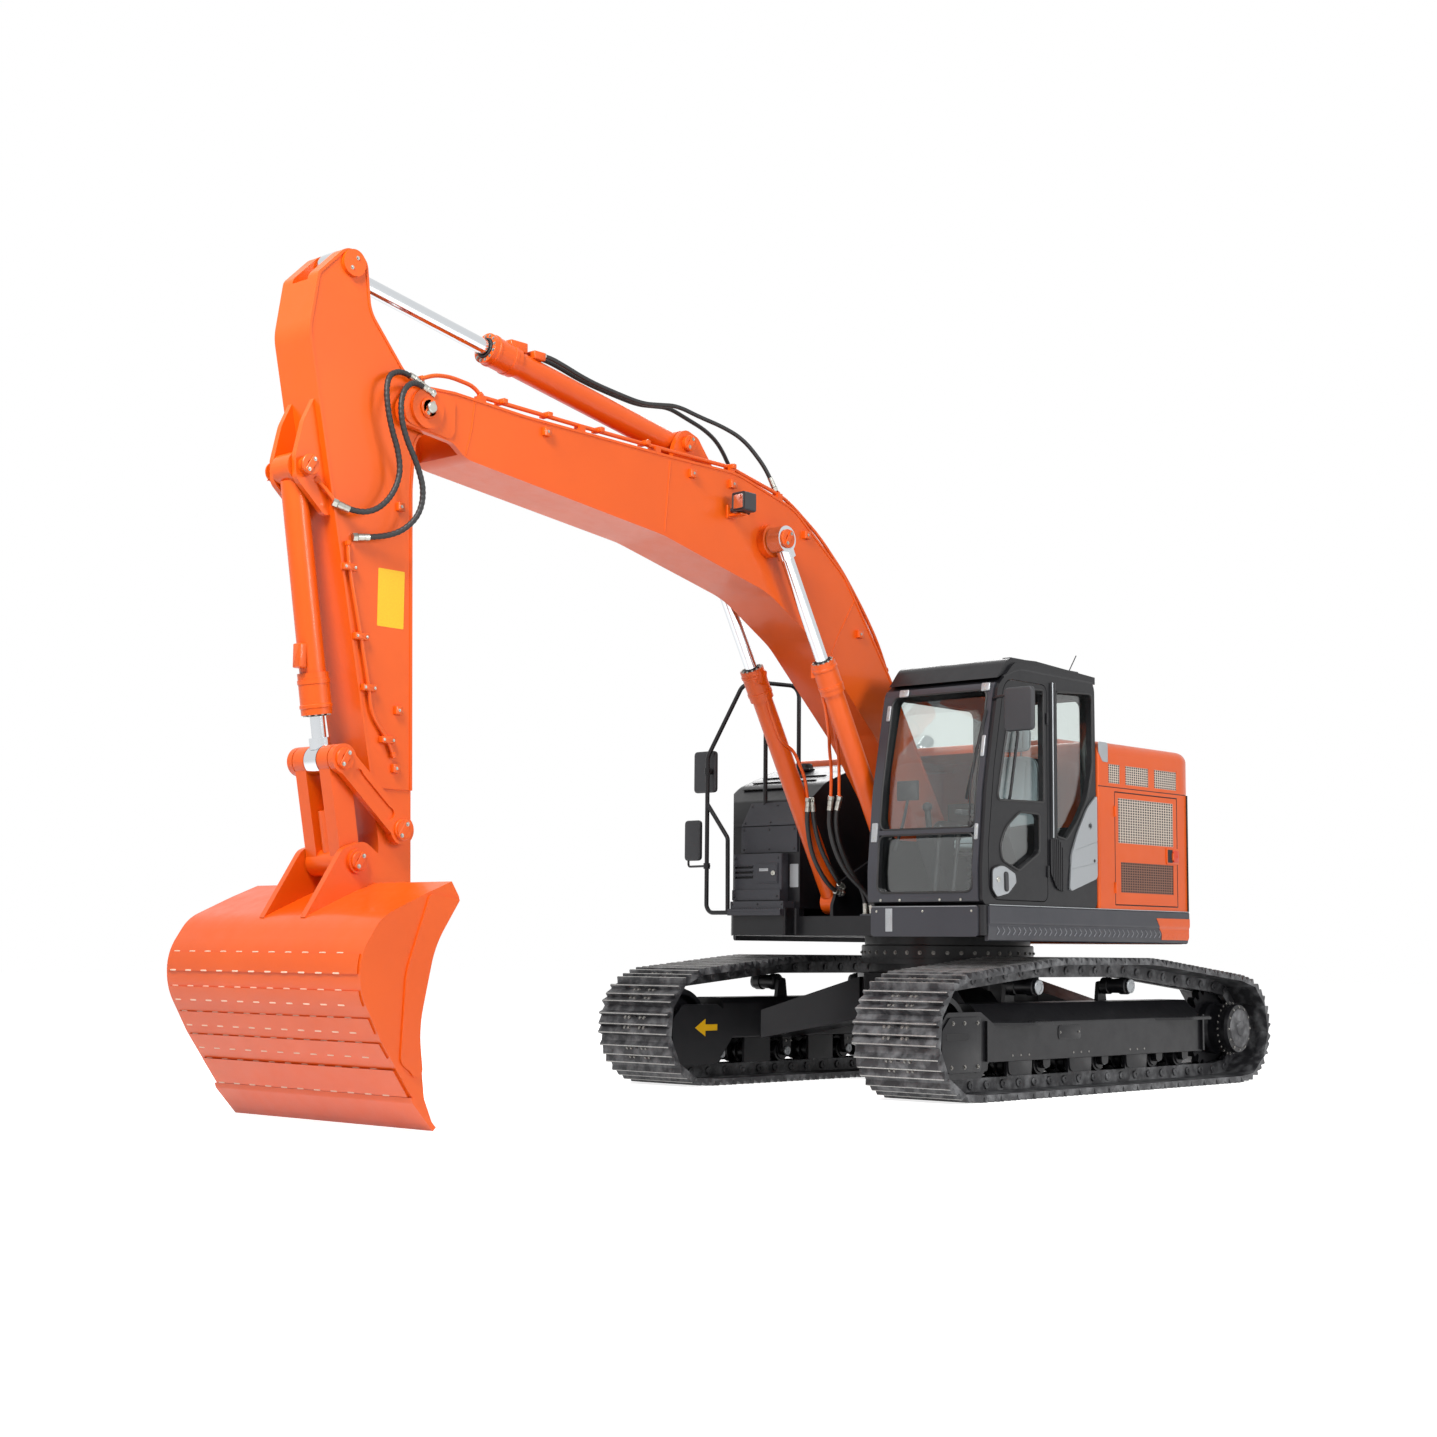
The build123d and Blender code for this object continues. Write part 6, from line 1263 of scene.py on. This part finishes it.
def boomTrim():
    # pads along the sides, pipe saddles with bolts, and weld seams
    pads, saddles, bolts, seams = [], [], [], []
    for x, z in ((4.536, 4.209), (3.188, 4.175), (2.782, 4.17), (1.988, 3.933), (1.378, 3.291)):
        pads.append(slab((x - 0.03, 0.205, z - 0.028), (x + 0.03, 0.238, z + 0.028), 0.004))
        bolts += hexBolt((x, 0.238, z), (0, 1, 0), 0.01)
    for x in (4.879, 4.497, 4.036, 3.608, 2.754):
        for y in (-0.17, 0.17):
            found = skinPoint("boom_pipes", (x, y, 5.0), (0, 0, -1))
            if found is None:
                continue
            top = found[0][2]
            saddles.append(slab((x - 0.02, y - 0.045, top - 0.026), (x + 0.02, y + 0.045, top + 0.007), 0.005))
            bolts += hexBolts([(x, y + dy, top + 0.006) for dy in (-0.033, 0.033)], (0, 0, 1), 0.009)
    seams.append(tubeAlong([(3.395, 0.2095, 4.225), (3.42, 0.2095, 3.96), (3.442, 0.2095, 3.745)], 0.004, 0.02, 6))
    seams.append(tubeAlong([(5.125, 0.2095, 4.29), (5.15, 0.2095, 4.1), (5.19, 0.2095, 3.95)], 0.004, 0.02, 6))
    seams.append(tubeAlong([(1.42, 0.2095, 3.54), (1.62, 0.2095, 3.24), (1.7, 0.2095, 3.08)], 0.004, 0.02, 6))
    makePiece("boomPads", pads + mirroredShapes(pads), orangeEnamel, "boom", "orange_paint")
    makePiece("boomSeams", seams + mirroredShapes(seams), orangeEnamel, "boom", "orange_paint")
    makePiece("boomSaddles", saddles, orangeEnamel, "boom", "orange_paint")
    makePiece("boomBolts", bolts, zinc, "boom", "silver_paint")
    # lamp: bezel, lens and bracket
    lens = roundedBox(0.288, 3.973, 0.382, 4.077, 0.012)
    makePiece("lampLens", [frontPlate(lens, 2.848, 0.006, 0.003)], finishes["lampReflector"],
              "boom", "cab_glazing")
    rim = np.stack([np.full(len(lens), 2.853), lens[:, 0], lens[:, 1]], -1)
    makePiece("lampBezel", [carried(rim, circleProfile(0.005, 8), closed=True)], rubber, "boom", "black_paint")
    makePiece("lampBracket", [slab((2.745, 0.208, 3.93), (2.83, 0.222, 4.02), 0.004),
                              slab((2.76, 0.208, 3.94), (2.82, 0.33, 3.956), 0.004)], orangeEnamel, "boom",
              "orange_paint")
    lead = tubeAlong([(2.74, 0.335, 4.02), (2.69, 0.3, 3.96), (2.64, 0.222, 3.99), (2.56, 0.222, 4.09)],
                     0.005, 0.04, 8)
    makePiece("lampLead", [lead], rubber, "boom", "black_paint")


boomTrim()


def armTrim():
    # blank yellow plate, pipe clamps and small bosses on the arm's side
    plain = roundedBox(2.84, 5.6, 3.18, 5.796, 0.008, 4)
    makePiece("armPlate", [sidePlate(plain, 0.1585, 0.002, 0.0006, 2)],
              finishes["yellowEnamel"], "arm", "silver_paint")
    clamps, bolts = [], []
    for x, z in ((6.022, 3.15), (5.925, 2.76), (5.858, 2.47), (5.712, 2.18)):
        clamps.append(slab((x - 0.05, 0.158, z - 0.02), (x + 0.05, 0.194, z + 0.02), 0.006))
        bolts += hexBolts([(x + dx, 0.193, z) for dx in (-0.034, 0.034)], (0, 1, 0), 0.009)
    for x, z in ((5.65, 3.56), (5.63, 2.36), (5.64, 2.02)):
        clamps.append(slab((x - 0.026, 0.156, z - 0.026), (x + 0.026, 0.182, z + 0.026), 0.006))
        bolts += hexBolt((x, 0.181, z), (0, 1, 0), 0.01)
    makePiece("armClamps", clamps, orangeEnamel, "arm", "orange_paint")
    makePiece("armBolts", bolts, zinc, "arm", "silver_paint")


armTrim()


def bucketTrim():
    # stitched weld dashes on the wear bands' edges, laid on the shell where rays meet it; their pale colour is a
    # painted highlight on welds that are painted orange
    dashes = []
    for z in (0.958, 0.85, 0.76, 0.681, 0.614, 0.534, 0.482, 0.402, 0.339, 0.195):
        found = skinPoint("bucket", (7.0, 0.4, z), (-1, 0, 0))
        if found is None:
            continue
        place, normal = found
        out = unit((normal[0], 0, normal[2]))
        down = np.array((out[2], 0, -out[0]))
        bead = np.stack([0.0045 * np.cos(np.arange(6) * np.pi / 3), 0.003 * np.sin(np.arange(6) * np.pi / 3)], -1)
        for y in np.arange(-0.84, 0.8, 0.15):
            rows = np.array([y, y + 0.006, y + 0.052, y + 0.058])
            swell = np.array([0.3, 1, 1, 0.3])
            points = (np.array((place[0], 0, place[2])) + rows[:, None, None] * (0, 1, 0)
                      + swell[:, None, None] * (bead[None, :, :1] * down + bead[None, :, 1:] * out))
            dashes.append(surface(points, closeColumns=True, caps=True))
    makePiece("bucketWelds", dashes, finishes["weldBeadPaintedHighlight"], "bucket", "orange_paint")


bucketTrim()


def lugTipHighlights():
    # bright strips on the tips of the three lugs of every shoe: a painted highlight along the lugs' edges
    tip = trackLook["seat"] + trackLook["shoe"] + trackLook["lug"]
    for side, tag in sideTags.items():
        strips = []
        for start, along, out, pitch in shoePlaces(side):
            for share in (0.11, 0.45, 0.855):
                middle = start + along * pitch * share + out * (tip - 0.0015)
                half = np.array([(-0.344, -0.0042), (0.344, -0.0042), (0.344, 0.0042), (-0.344, 0.0042)])
                strips.append(plate(half, middle, (0, 1, 0), along, 0.003, 0.0012, 2))
        makePiece("lugTips" + tag, strips, finishes["lugTipPaintedHighlight"], "root", "track_steel")


lugTipHighlights()
print("digging arm dressed")


# Right front: tool box, covers, treads and tank; hose plates and the slewing ring's bolts
def rightFront():
    bolts, slotShades, trims, tread = [], [], [], []
    for y, z in ((-1.095, 1.76), (-0.84, 1.76), (-0.59, 1.76), (-1.095, 1.91), (-0.84, 1.91), (-0.59, 1.91),
                 (-1.095, 1.965), (-0.84, 1.965), (-0.59, 1.965), (-1.095, 2.1), (-0.84, 2.1), (-0.59, 2.1),
                 (-1.105, 1.34), (-0.85, 1.34), (-0.61, 1.34), (-1.12, 1.69), (-0.69, 1.69), (-0.69, 1.4),
                 (-1.12, 1.4)):
        found = skinPoint("step_box", (2.0, y, z), (-1, 0, 0))
        if found:
            bolts += hexBolt(found[0], found[1], 0.011)
    # the tool box's slots are dark slabs: painted shade
    for z in (1.545, 1.583, 1.621):
        slotShades.append(slab((1.196, -1.124, z - 0.0075), (1.199, -0.941, z + 0.0075), 0.0005))
        trims.append(slab((1.206, -1.128, z + 0.009), (1.22, -0.937, z + 0.013), 0.0015))
    panel = roundedBox(-0.893, 1.507, -0.697, 1.641, 0.015)
    trims.append(frontPlate(panel, 1.2165, 0.003, 0.001, 2))
    knob = [turned((1.218, -0.73, 1.574), (1, 0, 0), [(0, 0.02), (0.006, 0.02), (0.01, 0.016), (0.01, 0.006),
                                                      (0.006, 0.004)], 24),
            slab((1.2195, -0.87, 1.59), (1.221, -0.78, 1.612), 0.0005)]
    # round holes with raised rims in the tread, and its toothed front edge
    for x in (1.263, 1.287):
        for y in np.arange(-1.1, -0.6, 0.034):
            tread.append(turned((x, y, 1.2995), (0, 0, 1), [(0, 0.0095), (0.003, 0.0085), (0.003, 0.006),
                                                            (0.001, 0.005)], 12))
    run = np.arange(-1.118, -0.596, 0.01)
    teeth = np.concatenate([np.stack([run, 1.3 + 0.008 * (np.arange(len(run)) % 2)], -1),
                            np.stack([run[::-1], np.full(len(run), 1.285)], -1)])
    trims.append(frontPlate(teeth, 1.2955, 0.006, 0.001, 2))
    blank = frontPlate(roundedBox(-0.639, 1.468, -0.556, 1.644, 0.008), 1.1295, 0.003, 0.001, 2)
    makePiece("toolBoxBolts", bolts, moulded, "upper", "black_paint")
    makePiece("toolBoxLatch", knob[:1], zinc, "upper", "silver_paint")
    makePiece("toolBoxSlotShade", slotShades, seamAndShadeDark, "upper", "black_paint")
    makePiece("toolBoxTrim", trims, charcoalEnamel, "upper", "grey_paint")
    makePiece("toolBoxHandle", knob[1:], silver, "upper", "silver_paint")
    makePiece("treadHoles", tread, worn, "upper", "black_paint")
    makePiece("tankPlate", [blank], silver, "upper", "silver_paint")
    # filler cap and grit strips on the tank's top
    top = skinPoint("tank_housing", (0.45, -1.05, 4.0), (0, 0, -1))
    if top:
        place = top[0]
        cap = [turned(place - (0, 0, 0.004), (0, 0, 1), [(0, 0.075), (0.014, 0.075), (0.02, 0.068), (0.02, 0.056),
                                                         (0.05, 0.052), (0.058, 0.044), (0.058, 0.01)], 36)]
        makePiece("fillerCap", cap, satinBlackEnamel, "upper", "black_paint")
        grit = []
        for x in (0.62, 0.74, 0.86):
            found = skinPoint("tank_housing", (x, -1.0, 4.0), (0, 0, -1))
            grit.append(slab((x - 0.025, -1.34, found[0][2] - 0.004), (x + 0.025, -0.7, found[0][2] + 0.002), 0.0006))
        makePiece("gritStrips", grit, rubber, "upper", "black_paint")
    plates = [slab((1.03, -0.2225, 1.395), (1.075, -0.196, 1.5), 0.006),
              slab((1.066, 0.028, 1.248), (1.126, 0.152, 1.264), 0.004)]
    makePiece("hosePlates", plates, charcoalEnamel, "upper", "grey_paint")
    # slewing ring: bolt heads round both rings and a grease seal in the gap
    lower = []
    for k in range(40):
        a = k * 2 * math.pi / 40
        lower += hexBolt((0.6595 * math.cos(a), 0.6595 * math.sin(a), 0.985), (math.cos(a), math.sin(a), 0), 0.016)
    angle = np.arange(96) * 2 * np.pi / 96
    ring = np.stack([0.652 * np.cos(angle), 0.652 * np.sin(angle), 1.0385 + 0 * angle], -1)
    makePiece("slewBolts", lower, worn, "root", "black_paint")
    makePiece("slewSeal", [carried(ring, circleProfile(0.005, 8), closed=True)], rubber, "root", "black_paint")
    # cab base: seam strips and small fittings on the apron below the windscreen
    apron = [slab((1.6105, 0.64, 1.13), (1.6135, 0.7, 1.29), 0.001),
             slab((1.6105, 0.52, 1.3), (1.613, 1.412, 1.304), 0.001)]
    makePiece("apronFittings", apron, silver, "upper", "silver_paint")
    dots = hexBolts([(1.611, y, 1.27) for y in (0.56, 0.96, 1.37)], (1, 0, 0), 0.009)
    makePiece("apronBolts", dots, zinc, "upper", "silver_paint")


rightFront()
print("right front dressed")


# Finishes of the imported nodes
nodeFinishes = {
    "orange": (orangeEnamel, ["counterweight", "left_housing", "right_housing", "upper_cowl", "engine_hood",
                              "left_service_door", "right_service_door", "boom", "boom_pipes", "arm",
                              "side_links", "bucket_link", "bucket", "arm_barrel", "bucket_barrel",
                              "boom_barrel_left", "boom_barrel_right"]),
    "black": (satinBlackEnamel, ["deck", "centre_frame", "track_frame_left", "track_frame_right", "cab_shell",
                                 "cab_door", "handrail", "engine", "tank_housing", "sprockets", "idlers",
                                 "lower_rollers", "carrier_rollers", "slew_ring_lower", "slew_ring_upper"]),
    "charcoal": (charcoalEnamel, ["side_skirts", "step_box"]),
    "moulded": (moulded, ["consoles", "mirrors", "work_lamp"]),
    "steel": (trackSteel, ["track_left", "track_right"]),
    "chrome": (chrome, ["boom_rod_left", "boom_rod_right", "arm_rod", "bucket_rod"]),
    "screenFrame": (charcoalEnamel, ["screen_frame"]),
    "silver": (silver, ["cab_cover"]),
    "glass": (glass, ["cab_glass", "cab_door_glass"]),
    "cloth": (seatCloth, ["seat"]),
    "pipe": (finishes["stainlessSheet"], ["exhaust"]),
}
for material, names in nodeFinishes.values():
    for name in names:
        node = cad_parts.get(name)
        if node is None:
            continue
        node.data.materials.clear()
        node.data.materials.append(material)
print("packed nodes finished")


# Studio: a pale floor that shows white to the camera and in reflections, and soft lights
studio = dict(floorColour="#EDEDED", floorHalf=60.0, floorLift=0.78, worldStrength=0.3)


def paleStage(tree):
    # white where the camera, a mirror or glass sees it, and plain where it lights the machine
    path = addNode(tree, "ShaderNodeLightPath")
    seen = addNode(tree, "ShaderNodeMath", {0: path.outputs["Is Camera Ray"], 1: path.outputs["Is Glossy Ray"]},
                   operation="ADD", use_clamp=True)
    seen = addNode(tree, "ShaderNodeMath", {0: seen.outputs["Value"], 1: path.outputs["Is Transmission Ray"]},
                   operation="ADD", use_clamp=True)
    return seen.outputs["Value"]


def makeStudio(look):
    floor = bpy.data.meshes.new("studioFloor")
    half = look["floorHalf"]
    floor.from_pydata([(-half, -half, 0), (half, -half, 0), (half, half, 0), (-half, half, 0)], [], [(0, 1, 2, 3)])
    material, tree = newMaterial("paleStudioFloor")
    diffuse = addNode(tree, "ShaderNodeBsdfDiffuse", {"Color": linearColour(look["floorColour"])})
    lift = addNode(tree, "ShaderNodeEmission", {"Color": linearColour("#FFFFFF"), "Strength": look["floorLift"]})
    seen = paleStage(tree)
    dark = addNode(tree, "ShaderNodeMixShader", {0: seen, 2: lift.outputs["Emission"]})
    both = addNode(tree, "ShaderNodeAddShader", {0: diffuse.outputs["BSDF"], 1: dark.outputs["Shader"]})
    addNode(tree, "ShaderNodeOutputMaterial", {"Surface": both.outputs["Shader"]})
    floor.materials.append(material)
    stage = bpy.data.objects.new("studioFloor", floor)
    bpy.context.scene.collection.objects.link(stage)
    world = bpy.data.worlds.new("studioWorld")
    world.use_nodes = True
    tree = world.node_tree
    tree.nodes.clear()
    seen = paleStage(tree)
    strength = addNode(tree, "ShaderNodeMapRange", {"Value": seen, "To Min": look["worldStrength"], "To Max": 1.0})
    light = addNode(tree, "ShaderNodeBackground", {
        "Color": linearColour("#FFFFFF"), "Strength": strength.outputs["Result"]})
    addNode(tree, "ShaderNodeOutputWorld", {"Surface": light.outputs["Background"]})
    bpy.context.scene.world = world
    bpy.context.scene.view_settings.view_transform = "Standard"
    # name, place, aims at, size in metres, watts
    lamps = [
        ("keySoftbox", (11.0, 2.5, 9.0), (2.0, 0.5, 1.5), 3.2, 1150),
        ("sideSoftbox", (2.0, 13.0, 6.0), (0.0, 0.0, 1.5), 4.0, 760),
        ("rearSoftbox", (-9.0, -8.0, 9.0), (0.0, 0.0, 1.5), 6.0, 520),
    ]
    for name, place, target, size, watts in lamps:
        lamp = bpy.data.lights.new(name, "AREA")
        lamp.shape, lamp.size, lamp.energy = "SQUARE", size, watts
        holder = bpy.data.objects.new(name, lamp)
        back = unit(np.array(place) - np.array(target))
        side, up = axesFor(back)
        holder.matrix_world = Matrix([[side[k], up[k], back[k], place[k]] for k in range(3)] + [[0, 0, 0, 1]])
        bpy.context.scene.collection.objects.link(holder)


makeStudio(studio)
print("studio made")
